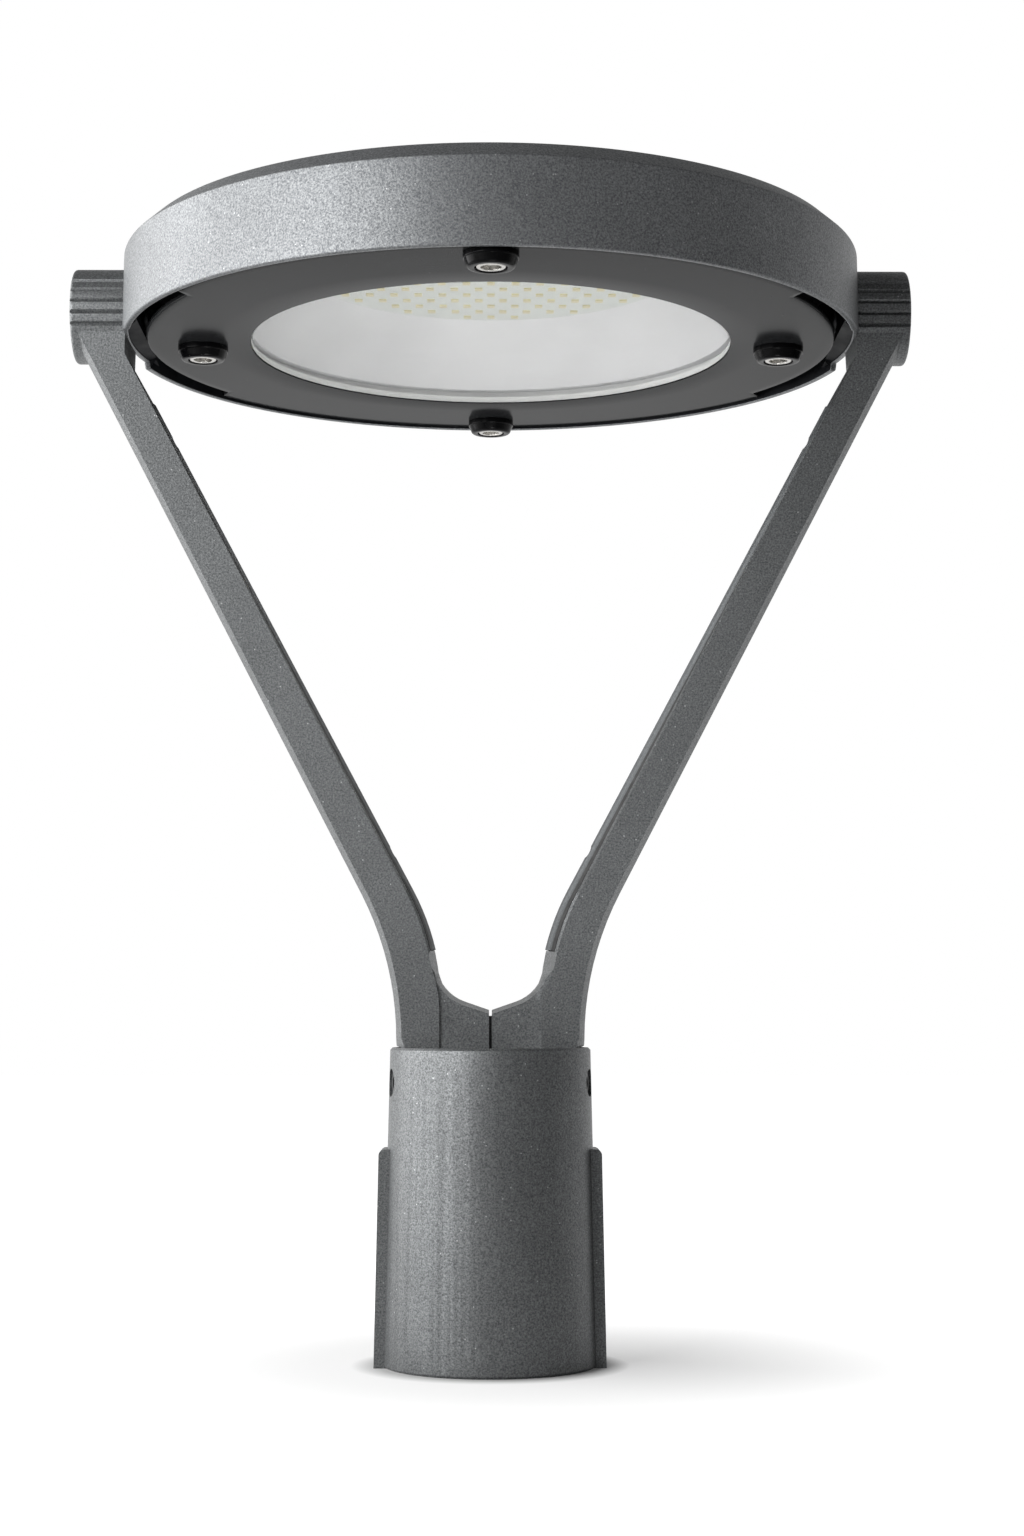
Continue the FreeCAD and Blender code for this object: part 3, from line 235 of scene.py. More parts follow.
def powderCoat(name, look):
    # Polyester powder coat with metal flake, baked on a casting: a satin grey skin with a pebbled surface of
    # about a millimetre, lighter and darker grains in it, and single flakes that catch the light. The flakes
    # are drawn coarser than real ones, so that they show.
    material, tree, coords = startMaterial(name)
    pebble = addNode(tree, "ShaderNodeTexNoise", {
        "Vector": coords, "Scale": grain(look["pebble"]), "Detail": 3.0, "Roughness": 0.62})
    cloud = addNode(tree, "ShaderNodeTexNoise", {
        "Vector": coords, "Scale": grain(look["cloud"]), "Detail": 2.0})
    flake = addNode(tree, "ShaderNodeTexVoronoi", {"Vector": coords, "Scale": grain(look["flake"])})
    tone = addNode(tree, "ShaderNodeValToRGB", {"Fac": pebble.outputs["Fac"]},
                   stops=((0.34, look["dark"]), (0.68, look["light"])))
    shade = addNode(tree, "ShaderNodeMapRange", {
        "Value": cloud.outputs["Fac"], "From Min": 0.3, "From Max": 0.7, "To Min": 0.93, "To Max": 1.06})
    body = addNode(tree, "ShaderNodeVectorMath", {0: tone.outputs["Color"], "Scale": shade.outputs["Result"]},
                   operation="SCALE")
    # a flake is the middle of a cell whose random number is among the highest
    chance = addNode(tree, "ShaderNodeSeparateColor", {"Color": flake.outputs["Color"]})
    chosen = addNode(tree, "ShaderNodeMath", {0: chance.outputs["Red"], 1: look["flakeShare"]},
                     operation="GREATER_THAN")
    near = addNode(tree, "ShaderNodeMapRange", {
        "Value": flake.outputs["Distance"], "From Min": 0.45, "From Max": 0.2})
    spark = addNode(tree, "ShaderNodeMath", {0: chosen.outputs[0], 1: near.outputs["Result"]},
                    operation="MULTIPLY")
    colour = addNode(tree, "ShaderNodeMix", {
        "Factor": spark.outputs[0], "A": body.outputs[0], "B": linear(look["spark"])}, data_type="RGBA")
    gloss = addNode(tree, "ShaderNodeMapRange", {
        "Value": pebble.outputs["Fac"], "From Min": 0.3, "From Max": 0.7,
        "To Min": look["rough"][0], "To Max": look["rough"][1]})
    bump = addNode(tree, "ShaderNodeBump", {
        "Height": pebble.outputs["Fac"], "Strength": look["bump"], "Distance": 0.25 * mm})
    closeMaterial(tree, {
        "Base Color": colour.outputs["Result"], "Roughness": gloss.outputs["Result"],
        "Normal": bump.outputs["Normal"], "Metallic": look["metallic"], "IOR": look["ior"]})
    return material


castLook = {"dark": "#4b4d4e", "light": "#7c7e7f", "spark": "#b6b7b8", "metallic": 0.62, "ior": 1.5,
            "rough": (0.46 * 1.12, 0.46 * 0.88), "bump": 0.5, "pebble": 0.9, "cloud": 38.0, "flake": 1.0,
            "flakeShare": 0.993}
# arms and collar: graphite grey
castCoat = powderCoat("powderCoatGraphite", castLook)
# the drum: the same coat, made a little paler as painted light, so that the drum reads more brightly lit
drumCoatPaintedLight = powderCoat("powderCoatGraphitePaintedLight", {
    **castLook, "dark": "#55575a", "light": "#87898a", "spark": "#b0b1b2"})
# the bezel: smooth black grey with little flake and a weak gloss
bezelCoat = powderCoat("powderCoatBlackGrey", {
    "dark": "#222324", "light": "#2a2b2c", "spark": "#424344", "metallic": 0.0, "ior": 1.085,
    "rough": (0.17 * 1.12, 0.17 * 0.88), "bump": 0.03, "pebble": 0.9, "cloud": 30.0, "flake": 1.3,
    "flakeShare": 0.996})


stripLook = {"dark": "#2f3133", "light": "#7b7e80", "metallic": 0.2, "ior": 1.3, "rough": (0.55, 0.7),
             "bump": 0.5, "lines": 6.0, "stretch": 50.0, "fleck": 1.0}


def stripCoat(name, look):
    # Powder coated aluminium extrusion: the same grey, with die lines that run the length of the strip. They
    # are drawn much coarser than real ones, so that they show.
    material, tree, coords = startMaterial(name)
    across = addNode(tree, "ShaderNodeMapping", {
        "Vector": coords, "Scale": (1 / look["stretch"], 1.0, 1 / look["stretch"])})
    lines = addNode(tree, "ShaderNodeTexNoise", {
        "Vector": across.outputs[0], "Scale": grain(look["lines"]), "Detail": 3.0, "Roughness": 0.7})
    fleck = addNode(tree, "ShaderNodeTexNoise", {
        "Vector": coords, "Scale": grain(look["fleck"]), "Detail": 3.0})
    both = addNode(tree, "ShaderNodeMath", {0: lines.outputs["Fac"], 1: fleck.outputs["Fac"]}, operation="ADD")
    mean = addNode(tree, "ShaderNodeMath", {0: both.outputs[0], 1: 0.5}, operation="MULTIPLY")
    tone = addNode(tree, "ShaderNodeValToRGB", {"Fac": mean.outputs[0]},
                   stops=((0.36, look["dark"]), (0.66, look["light"])))
    gloss = addNode(tree, "ShaderNodeMapRange", {
        "Value": fleck.outputs["Fac"], "To Min": look["rough"][0], "To Max": look["rough"][1]})
    bump = addNode(tree, "ShaderNodeBump", {
        "Height": both.outputs[0], "Strength": look["bump"], "Distance": 0.2 * mm})
    closeMaterial(tree, {
        "Base Color": tone.outputs["Color"], "Roughness": gloss.outputs["Result"],
        "Normal": bump.outputs["Normal"], "Metallic": look["metallic"], "IOR": look["ior"]})
    return material


def mottled(name, look):
    # One plain material with cloudy tone, uneven gloss and a fine bump; look gives its colours and sizes.
    material, tree, coords = startMaterial(name)
    fine = addNode(tree, "ShaderNodeTexNoise", {
        "Vector": coords, "Scale": grain(look["fine"]), "Detail": 4.0})
    cloud = addNode(tree, "ShaderNodeTexNoise", {
        "Vector": coords, "Scale": grain(look["cloud"]), "Detail": 2.0})
    mixed = addNode(tree, "ShaderNodeMath", {0: fine.outputs["Fac"], 1: cloud.outputs["Fac"]}, operation="ADD")
    share = addNode(tree, "ShaderNodeMapRange", {"Value": mixed.outputs[0], "From Min": 0.7, "From Max": 1.3})
    tone = addNode(tree, "ShaderNodeMix", {
        "Factor": share.outputs["Result"], "A": linear(look["dark"]), "B": linear(look["light"])},
        data_type="RGBA")
    gloss = addNode(tree, "ShaderNodeMapRange", {
        "Value": cloud.outputs["Fac"], "From Min": 0.3, "From Max": 0.7,
        "To Min": look["rough"][0], "To Max": look["rough"][1]})
    bump = addNode(tree, "ShaderNodeBump", {
        "Height": fine.outputs["Fac"], "Strength": look["bump"], "Distance": 0.1 * mm})
    closeMaterial(tree, {
        "Base Color": tone.outputs["Result"], "Roughness": gloss.outputs["Result"],
        "Normal": bump.outputs["Normal"], **look.get("surface", {})})
    return material


coverCoat = stripCoat("powderCoatExtrusion", stripLook)
# ABS, moulded in a polished tool: deep black with narrow highlights
knobPlastic = mottled("absMouldedBlack", {
    "dark": "#070708", "light": "#0e0e0f", "rough": (0.16, 0.26), "bump": 0.06, "fine": 0.5, "cloud": 6.0,
    "surface": {"IOR": 1.16}})
# stainless steel, turned: bright, with an uneven satin gloss
turnedSteel = mottled("stainlessTurned", {
    "dark": "#a8a6a2", "light": "#d2d0cc", "rough": (0.2, 0.36), "bump": 0.1, "fine": 0.4, "cloud": 3.0,
    "surface": {"Metallic": 1.0}})
# steel, zinc plated: greyer and cloudier than stainless
zincSteel = mottled("steelZincPlated", {
    "dark": "#8d9093", "light": "#b9bcbf", "rough": (0.3, 0.48), "bump": 0.2, "fine": 0.6, "cloud": 5.0,
    "surface": {"Metallic": 1.0}})
# steel, blackened: dark with a slight oily gloss
blackSteel = mottled("steelBlackened", {
    "dark": "#3c3d3e", "light": "#565758", "rough": (0.34, 0.5), "bump": 0.2, "fine": 0.5, "cloud": 3.0,
    "surface": {"Metallic": 0.8}})
# EPDM rubber, moulded: matt near black; on the channel strips' edges it is also painted shade of the gap
sealRubberAndGapShade = mottled("epdmMouldedAndGapShade", {
    "dark": "#161616", "light": "#232323", "rough": (0.6, 0.8), "bump": 0.3, "fine": 0.4, "cloud": 6.0})
# silicone, moulded: pale and waxy
sealSilicone = mottled("siliconeMoulded", {
    "dark": "#cfd0d1", "light": "#dddedf", "rough": (0.45, 0.6), "bump": 0.1, "fine": 0.5, "cloud": 8.0})
# inside of the casting, primed black: dull, a little uneven
innerBlack = mottled("primerBlack", {
    "dark": "#141517", "light": "#202124", "rough": (0.45, 0.6), "bump": 0.3, "fine": 0.8, "cloud": 12.0,
    "surface": {"IOR": 1.15}})
# polycarbonate, moulded and matt white: soft, with a faint cool cloud in it
reflectorWhite = mottled("polycarbonateMattWhite", {
    "dark": "#d9d9db", "light": "#e4e4e6", "rough": (0.4, 0.55), "bump": 0.05, "fine": 0.8, "cloud": 30.0})
# white solder mask on aluminium board: faintly green, with a slight sheen
boardWhite = mottled("solderMaskWhite", {
    "dark": "#d6dad5", "light": "#e2e6e1", "rough": (0.34, 0.5), "bump": 0.05, "fine": 0.6, "cloud": 9.0})
# phosphor in silicone: pale yellow, waxy
chipYellow = mottled("phosphorSilicone", {
    "dark": "#d5cb9a", "light": "#e0d7ac", "rough": (0.3, 0.45), "bump": 0.05, "fine": 0.5, "cloud": 8.0})
# aluminium case, drawn: silvery, with a soft gloss
driverCase = mottled("aluminiumDrawn", {
    "dark": "#a9abad", "light": "#c6c8ca", "rough": (0.3, 0.45), "bump": 0.15, "fine": 0.7, "cloud": 12.0,
    "surface": {"Metallic": 1.0}})
# polyamide, moulded: off white, slightly waxy
terminalPlastic = mottled("polyamideMoulded", {
    "dark": "#cfcabc", "light": "#dcd8cc", "rough": (0.4, 0.55), "bump": 0.1, "fine": 0.6, "cloud": 8.0})
# epoxy resin, cast: dark blue grey
surgePlastic = mottled("epoxyCast", {
    "dark": "#2d3440", "light": "#3b4452", "rough": (0.3, 0.5), "bump": 0.1, "fine": 0.6, "cloud": 8.0})


glass = {"tint": "#f1f2f1", "ior": 1.5, "haze": 26.0, "rough": (0.34, 0.4)}


def lensGlass(name, veil, sheen):
    # Toughened glass: a white haze, from veil[0] to veil[1], through which the board shows faintly, and a satin
    # gloss that grows at flat angles.
    material, tree, coords = startMaterial(name)
    haze = addNode(tree, "ShaderNodeTexNoise", {
        "Vector": coords, "Scale": grain(glass["haze"]), "Detail": 3.0})
    edge = addNode(tree, "ShaderNodeFresnel", {"IOR": glass["ior"]})
    white = addNode(tree, "ShaderNodeMapRange", {
        "Value": haze.outputs["Fac"], "From Min": 0.3, "From Max": 0.7, "To Min": veil[0], "To Max": veil[1]})
    solid = addNode(tree, "ShaderNodeMath", {0: edge.outputs["Fac"], 1: sheen, 2: white.outputs["Result"]},
                    operation="MULTIPLY_ADD", use_clamp=True)
    gloss = addNode(tree, "ShaderNodeMapRange", {
        "Value": haze.outputs["Fac"], "To Min": glass["rough"][0], "To Max": glass["rough"][1]})
    closeMaterial(tree, {
        "Base Color": linear(glass["tint"]), "IOR": glass["ior"], "Roughness": gloss.outputs["Result"],
        "Alpha": solid.outputs[0]})
    return material


# the face is etched, the back left clear, the edge ground to a dense white
lensEtched = lensGlass("glassEtched", (0.07, 0.09), 0.3)
lensBack = lensGlass("glassFloat", (0.01, 0.03), 0.05)
lensEdge = lensGlass("glassGround", (0.8, 0.86), 0.1)
print("materials ready")


# Head, in millimetres

drum = {
    # lip, rim and crown
    "lip": 517.0, "lipSeam": 1.0, "lipRound": 1.1, "lipInnerRound": 0.8, "radius": 189.13, "rim": 188.6,
    "rimShares": (0.14, 0.38, 0.86), "wall": 3.2, "top": 567.6, "edge": 9.6, "edgeRise": 8.6,
    "shoulderRound": 1.4, "crown": 5.0, "crownRound": 2.6, "domeShare": 0.97, "domeSteps": 26,
    # ceiling, and the ring wall round the light chamber
    "ceiling": 560.9, "ceilingEdge": 5.0, "ceilingRound": 2.0, "innerRound": 0.3, "chamber": 130.0,
    "chamberWall": 4.0, "chamberEnd": 523.9, "chamberRound": 1.0, "chamberEndRound": 0.6,
    # notch in the lip under each knuckle
    "notchHalf": 42.0, "notchHeight": 3.4, "notchEdge": 1.6, "notchSwing": 0.014, "notchSteps": 15,
    "liftTop": 7.0, "liftFade": 5.5,
    # flat seat outside and pad inside, behind each knuckle
    "seat": 186.6, "seatMiddle": 534.2, "seatRadius": 23.4, "leastCosine": 0.1, "padFace": 178.5,
    "padLow": 521.5, "padHigh": 555.5, "padStep": 0.4, "padLowSlack": 0.2, "padHighSlack": 0.6, "padClear": 1.0,
    # posts for the screws of the bezel
    "post": 8.0, "postHole": 3.2, "postEnd": 520.9, "postRound": 0.6, "postHoleRound": 0.3, "postSteps": 40,
    "postRoundSteps": 5,
    "turnSteps": 420, "roundSteps": 6, "paintSlack": 0.01,
}
knobSpots = np.array([[0.0, -171.5], [149.0, 0.0], [0.0, 171.5], [-149.0, 0.0]])


def atKnobs(line, steps, height):
    # a line turned about Z and put at each knob, at this height
    grid = turnedGrid(fullTurn(steps), line[:, 0], line[:, 1])
    return [grid + [*spot, height] for spot in knobSpots]


def makeDrum():
    # wall line turned about Z, along the inside out from the axis and back to it over the crown; the lip is
    # lifted by a soft step within the notch; behind the knuckle the wall is pressed flat outside,
    # r = min(r, seat / cos t), and thickened inwards to the pad, r = min(r, pad / cos t)
    crownEdge = drum["rim"] - drum["edge"]
    domeR = (crownEdge ** 2 + drum["crown"] ** 2) / (2 * drum["crown"])
    dome = np.linspace(math.asin(crownEdge / domeR) * drum["domeShare"], 0, drum["domeSteps"])
    domeLine = np.stack([domeR * np.sin(dome), drum["top"] + drum["crown"] - domeR * (1 - np.cos(dome))], 1)
    inner = drum["rim"] - drum["wall"]
    lipInner = drum["radius"] - drum["wall"]
    seam = (lipInner, drum["lip"] + drum["lipSeam"])
    shoulder = drum["top"] - drum["edgeRise"]
    chamberOut = drum["chamber"] + drum["chamberWall"]
    innerLine = softLine([
        (0.0, drum["ceiling"]),
        (drum["chamber"], drum["ceiling"], drum["chamberRound"]),
        (drum["chamber"], drum["chamberEnd"], drum["chamberEndRound"]),
        (chamberOut, drum["chamberEnd"], drum["chamberEndRound"]),
        (chamberOut, drum["ceiling"], drum["chamberRound"]),
        (inner - drum["ceilingEdge"], drum["ceiling"], drum["ceilingRound"]),
        (inner, drum["ceiling"] - drum["ceilingEdge"], drum["innerRound"]),
        (inner, drum["padHigh"] - drum["padStep"]),
        (inner, drum["padHigh"] - 2 * drum["padStep"]),
        (lipInner, drum["padLow"] + drum["padStep"]),
        (lipInner, drum["padLow"]),
        seam,
    ], drum["roundSteps"], False)
    outerLine = softLine([
        seam,
        (lipInner, drum["lip"], drum["lipInnerRound"]),
        (drum["radius"], drum["lip"], drum["lipRound"]),
        *[(drum["radius"] + (drum["rim"] - drum["radius"]) * share,
           drum["lip"] + (shoulder - drum["lip"]) * share) for share in drum["rimShares"]],
        (drum["rim"], shoulder, drum["shoulderRound"]),
        (crownEdge, drum["top"], drum["crownRound"]),
        tuple(domeLine[0]),
    ], drum["roundSteps"], False)
    line = np.concatenate([innerLine[:-1], outerLine[:-1], domeLine])
    within = np.arange(len(line)) < len(innerLine) - 1
    notchTurn = math.asin((drum["notchHalf"] - drum["notchEdge"] / 2) / drum["radius"])
    fine = np.linspace(-drum["notchSwing"], drum["notchSwing"], drum["notchSteps"])
    angles = turnWithSteps(drum["turnSteps"], notchTurn + fine)
    cosine = np.maximum(np.abs(np.cos(angles)), drum["leastCosine"])[:, None]
    across = np.abs(drum["radius"] * np.sin(angles))[:, None]
    step = np.clip((drum["notchHalf"] - across) / drum["notchEdge"], 0, 1)
    r = np.repeat(line[None, :, 0], len(angles), 0)
    z = np.repeat(line[None, :, 1], len(angles), 0)
    hold = np.clip((drum["lip"] + drum["liftTop"] - z) / drum["liftFade"], 0, 1) * (r > drum["padFace"])
    z = z + drum["notchHeight"] * softStep(step) * hold
    seated = np.hypot(across, np.maximum(z - drum["seatMiddle"], 0)) < drum["seatRadius"]
    r = np.where(seated & ~within, np.minimum(r, drum["seat"] / cosine), r)
    padded = within & (z > drum["padLow"] + drum["padLowSlack"]) & (z < drum["padHigh"] - drum["padHighSlack"])
    padded &= r > chamberOut + drum["padClear"]
    r = np.where(padded, np.minimum(r, drum["padFace"] / cosine), r)
    postLine = softLine([
        (drum["postHole"], drum["postEnd"], drum["postHoleRound"]),
        (drum["post"], drum["postEnd"], drum["postRound"]),
        (drum["post"], drum["ceiling"]),
        (drum["postHole"], drum["ceiling"]),
    ], drum["postRoundSteps"])
    grids = [turnedGrid(angles, r, z)] + atKnobs(postLine, drum["postSteps"], 0.0)
    piece = addPiece("drumHousing", grids, drumCoatPaintedLight, "housing")
    # the inside is left dark
    middles = faceValues(piece, "center") / mm
    reach = np.hypot(middles[:, 0], middles[:, 1])
    inside = middles[:, 2] < drum["ceiling"] + drum["paintSlack"]
    inside &= reach < lipInner + 2 * drum["paintSlack"]
    paintFaces(piece, [innerBlack], inside)


bezel = {"low": 518.4, "top": 520.9, "opening": 123.9, "openingRound": 0.7, "radius": 184.6, "rimRound": 0.9,
         "backRound": 0.4, "flatStart": 20.0, "flatEnd": 6.0, "relief": 7.8, "reliefTurn": 34.0, "slant": 2.0,
         "slantMargin": 0.6, "slantSteps": 22, "turnSteps": 300, "roundSteps": 6}


def makeBezel():
    # rounded flat section turned about Z, stretched so that its rim follows the set back beside the knuckles
    opening, radius = bezel["opening"], bezel["radius"]
    line = softLine([
        (opening, bezel["low"], bezel["openingRound"]),
        (opening + bezel["flatStart"], bezel["low"]),
        (radius - bezel["flatEnd"], bezel["low"]),
        (radius, bezel["low"], bezel["rimRound"]),
        (radius, bezel["top"], bezel["backRound"]),
        (opening, bezel["top"], bezel["backRound"]),
    ], bezel["roundSteps"])
    slantEnd = bezel["reliefTurn"] + bezel["slant"]
    fine = np.linspace(bezel["reliefTurn"] - bezel["slantMargin"], slantEnd + bezel["slantMargin"],
                       bezel["slantSteps"])
    angles = turnWithSteps(bezel["turnSteps"], np.radians(fine))
    fromSide = np.degrees(np.abs(np.arcsin(np.sin(angles))))
    step = np.clip((slantEnd - fromSide) / bezel["slant"], 0, 1)
    rim = radius - bezel["relief"] * softStep(step)
    share = (line[:, 0] - opening) / (radius - opening)
    r = opening + share[None] * (rim[:, None] - opening)
    addPiece("bezelPlate", [turnedGrid(angles, r, line[:, 1])], bezelCoat, "bezel")


knob = {"seat": 517.6, "hole": 3.2, "holeRound": 0.2, "skirt": 12.2, "skirtRise": 0.7, "skirtRound": 0.2,
        "flange": 12.9, "flangeDeep": 2.0, "flangeRound": 0.7, "root": 12.5, "rootDeep": 2.1, "rootRound": 0.5,
        "end": 10.9, "endRound": 2.0, "height": 6.3, "cup": 7.5, "cupRound": 0.6, "floor": 2.8,
        "floorRound": 0.5, "turnSteps": 72, "roundSteps": 7}


def makeKnobs():
    # soft cornered cup section turned about Z, once for each screw of the bezel
    line = softLine([
        (knob["hole"], 0),
        (knob["skirt"], 0),
        (knob["skirt"], knob["skirtRise"]),
        (knob["flange"], knob["skirtRise"], knob["skirtRound"]),
        (knob["flange"], -knob["flangeDeep"], knob["flangeRound"]),
        (knob["root"], -knob["rootDeep"], knob["rootRound"]),
        (knob["end"], -knob["height"], knob["endRound"]),
        (knob["cup"], -knob["height"], knob["cupRound"]),
        (knob["cup"], -knob["floor"], knob["floorRound"]),
        (knob["hole"], -knob["floor"], knob["holeRound"]),
    ], knob["roundSteps"])
    addPiece("bezelKnobs", atKnobs(line, knob["turnSteps"], knob["seat"]), knobPlastic,
             "bezel_knobs")


screw = {"head": 7.1, "headDeep": 3.2, "headRound": 1.0, "seatRound": 0.2, "socket": 4.7, "socketDeep": 2.6,
         "socketRound": 0.4, "socketEndRound": 0.3, "shank": 3.0, "length": 18.1, "tipRound": 0.6,
         "turnSteps": 60, "roundSteps": 6}


def makeBezelScrews():
    # head with a socket and shank in one section, turned about Z, once in each cup
    socketEnd = screw["socketDeep"] - screw["headDeep"]
    line = softLine([
        (0.0, socketEnd),
        (screw["socket"], socketEnd, screw["socketEndRound"]),
        (screw["socket"], -screw["headDeep"], screw["socketRound"]),
        (screw["head"], -screw["headDeep"], screw["headRound"]),
        (screw["head"], 0, screw["seatRound"]),
        (screw["shank"], 0),
        (screw["shank"], screw["length"], screw["tipRound"]),
        (0.0, screw["length"]),
    ], screw["roundSteps"], False)
    cupFloor = knob["seat"] - knob["floor"]
    addPiece("bezelScrews", atKnobs(line, screw["turnSteps"], cupFloor), turnedSteel, "bezel_screws")


lens = {"face": 518.7, "faceRound": 0.8, "pane": 123.75, "step": 521.9, "rim": 128.9, "rimRound": 0.4,
        "back": 525.9, "flatLean": 0.7, "turnSteps": 180, "roundSteps": 5}


def makeLens():
    # stepped section turned about Z: a pane that fills the opening and a wider rim behind the bezel
    line = softLine([
        (0.0, lens["face"]),
        (lens["pane"], lens["face"], lens["faceRound"]),
        (lens["pane"], lens["step"]),
        (lens["rim"], lens["step"], lens["rimRound"]),
        (lens["rim"], lens["back"], lens["rimRound"]),
        (0.0, lens["back"]),
    ], lens["roundSteps"], False)
    grid = turnedGrid(fullTurn(lens["turnSteps"]), line[:, 0], line[:, 1])
    piece = addPiece("lensPane", [grid], lensEtched, "lens_glass")
    # etched face below, clear back above, ground edge between them
    lean = faceValues(piece, "normal")[:, 2]
    paintFaces(piece, [lensBack, lensEdge],
               np.where(lean > lens["flatLean"], 1, np.where(lean < -lens["flatLean"], 0, 2)))


makeDrum()
makeBezel()
makeKnobs()
makeBezelScrews()
makeLens()
print("head made")


# Arms and collar, in millimetres

arm = {
    # inner path: a line, a bend about (bendX, bendZ) and a line that leans outwards
    "bendX": 150.5, "bendZ": 178.0, "bendR": 125.0, "lean": 28.1,
    # slant of the inner side, from a ridge in the middle to the lip at both faces
    "half": 20.6, "ridge": 0.6, "setBack": {"right": 3.8, "left": 1.5}, "lip": 0.9, "lipStart": 19.9,
    # depth within which points move, and heights between which they do
    "skin": 3.0, "core": 9.0, "proud": 1.6, "start": 180.0, "full": 200.0, "close": 500.0, "end": 512.0,
    # top edge of the web, a round that ends at the split between the arms
    "roundX": 5.8, "roundZ": 201.66, "roundR": 21.8, "roundBand": 0.4, "roundLow": 19.0, "roundSlack": 0.1,
    "roundTop": 194.0, "split": 0.7, "splitTop": 176.85, "splitBand": 0.2, "faceStart": 18.0, "webFall": 2.0,
    # strip over the channel, with its sealing beads
    "stripHalf": 13.0, "beadStart": 14.0, "bead": 0.35,
    "edge": 0.8, "stripEdge": 0.4,
}
collar = {"edge": 0.7}


def draftInner(points, side, setBack, bead):
    # the inner side leans from a ridge at y = 0 to both faces: a point near it moves into the arm, square to
    # the inner path (line, arc, line), by setBack * |y| / half - ridge * (1 - |y| / half), and a little more
    # at the beads and the lip; the web's top edge falls away at both faces
    x, y, z = points[:, 0] * side, np.abs(points[:, 1]), points[:, 2]
    swing = np.clip(np.arctan2(z - arm["bendZ"], arm["bendX"] - x), 0, math.radians(arm["lean"]))
    across = np.stack([np.cos(swing), -np.sin(swing)], 1)
    foot = np.array([arm["bendX"], arm["bendZ"]]) - arm["bendR"] * across
    flat = np.stack([x, z], 1)
    deep = ((flat - foot) * across).sum(1)
    share = np.clip(y / arm["half"], 0, 1)
    rise = np.clip((z - arm["start"]) / (arm["full"] - arm["start"]), 0, 1)
    fall = np.clip((arm["end"] - z) / (arm["end"] - arm["close"]), 0, 1)
    near = np.clip((arm["core"] - deep) / (arm["core"] - arm["skin"]), 0, 1) * (deep > -arm["proud"])
    push = setBack * share - arm["ridge"] * (1 - share)
    push = (push + bead * (y > arm["beadStart"]) + arm["lip"] * (y > arm["lipStart"])) * near
    move = across * (push * softStep(rise) * fall)[:, None]
    spoke = flat - [arm["roundX"], arm["roundZ"]]
    roundStart = arm["roundR"] * math.sin(math.radians(arm["roundLow"])) - arm["roundSlack"]
    onRound = np.abs(np.hypot(*spoke.T) - arm["roundR"]) < arm["roundBand"]
    onRound &= (spoke[:, 0] > roundStart) & (z < arm["roundTop"]) & (y > arm["faceStart"])
    move[onRound] = spoke[onRound] / arm["roundR"] * arm["webFall"]
    atSplit = (np.abs(x - arm["split"]) < arm["splitBand"]) & (np.abs(z - arm["splitTop"]) < arm["splitBand"])
    move[atSplit & (y > arm["faceStart"])] = [0, -arm["webFall"]]
    return points + np.stack([move[:, 0] * side, np.zeros(len(x)), move[:, 1]], 1)


def makeArm(name, side):
    setBack = arm["setBack"][name]
    softCopy(name + "Arm", name + "_arm", castCoat, arm["edge"], (0.0,),
             lambda points: draftInner(points, side, setBack, 0.0))
    strip = softCopy(name + "Strip", name + "_channel_cover", coverCoat, arm["stripEdge"],
                     (-arm["stripHalf"], 0.0, arm["stripHalf"]),
                     lambda points: draftInner(points, side, setBack, arm["bead"]))
    # a black rubber bead fills both edges of the strip; its black is also painted shade for the dark gap
    # between strip and arm
    gapShadeBand = np.abs(faceValues(strip, "center")[:, 1]) > arm["stripHalf"] * mm
    paintFaces(strip, [sealRubberAndGapShade], gapShadeBand)


makeArm("right", 1)
makeArm("left", -1)
softCopy("collarCasting", "collar", castCoat, collar["edge"])
print("arms and collar made")

# the solids that keep their own mesh
finishes = {
    "reflector": reflectorWhite, "led_board": boardWhite, "led_chips": chipYellow,
    "lens_gasket": sealSilicone, "chamber_seal": sealRubberAndGapShade, "knob_washers": sealRubberAndGapShade,
    "wire_grommet": sealRubberAndGapShade, "stop_plate": zincSteel, "board_screws": zincSteel, "driver_screws": zincSteel,
    "driver_bracket": zincSteel, "arm_lock_screws": blackSteel, "pole_set_screws": blackSteel,
    "channel_cover_screws": blackSteel, "head_bolts": blackSteel, "head_bolt_washers": blackSteel,
    "head_bolt_nuts": blackSteel, "led_driver": driverCase, "terminal_block": terminalPlastic,
    "surge_protector": surgePlastic,
}
for nodeName, finish in finishes.items():
    data = cadNodes[nodeName].data
    data.materials.clear()
    data.materials.append(finish)
print("finishes set:", len(finishes), "solids")


# Studio, in metres and degrees

studio = {"camera": (0.0, -1.33675, 0.17584), "pitch": 5.3, "yaw": 0.4686, "focalPixels": 2629.0,
          "tall": 1536.0, "sensor": 36.0}


def makeCamera():
    data = bpy.data.cameras.new("photoCamera")
    data.sensor_fit = "VERTICAL"
    data.sensor_height = studio["sensor"]
    data.lens = studio["focalPixels"] / studio["tall"] * studio["sensor"]
    camera = bpy.data.objects.new("photoCamera", data)
    camera.location = studio["camera"]
    camera.rotation_euler = (math.radians(90 + studio["pitch"]), 0, -math.radians(studio["yaw"]))
    scene.collection.objects.link(camera)
    scene.camera = camera


lamps = {
    "sideLeft": {"place": (-1.1, -0.06, 0.62), "aim": (0, 0, 0.42), "size": (1.5, 1.1), "power": 22,
                 "spread": 180.0},
    "frontLeft": {"place": (-0.82, -0.98, 0.6), "aim": (0, 0, 0.36), "size": (0.6, 1.1), "power": 12.8,
                  "spread": 180.0},
    "underFill": {"place": (0.05, -0.26, 0.02), "aim": (-0.02, 0.08, 0.53), "size": (0.2, 0.2), "power": 0.225,
                  "spread": 46.0},
}


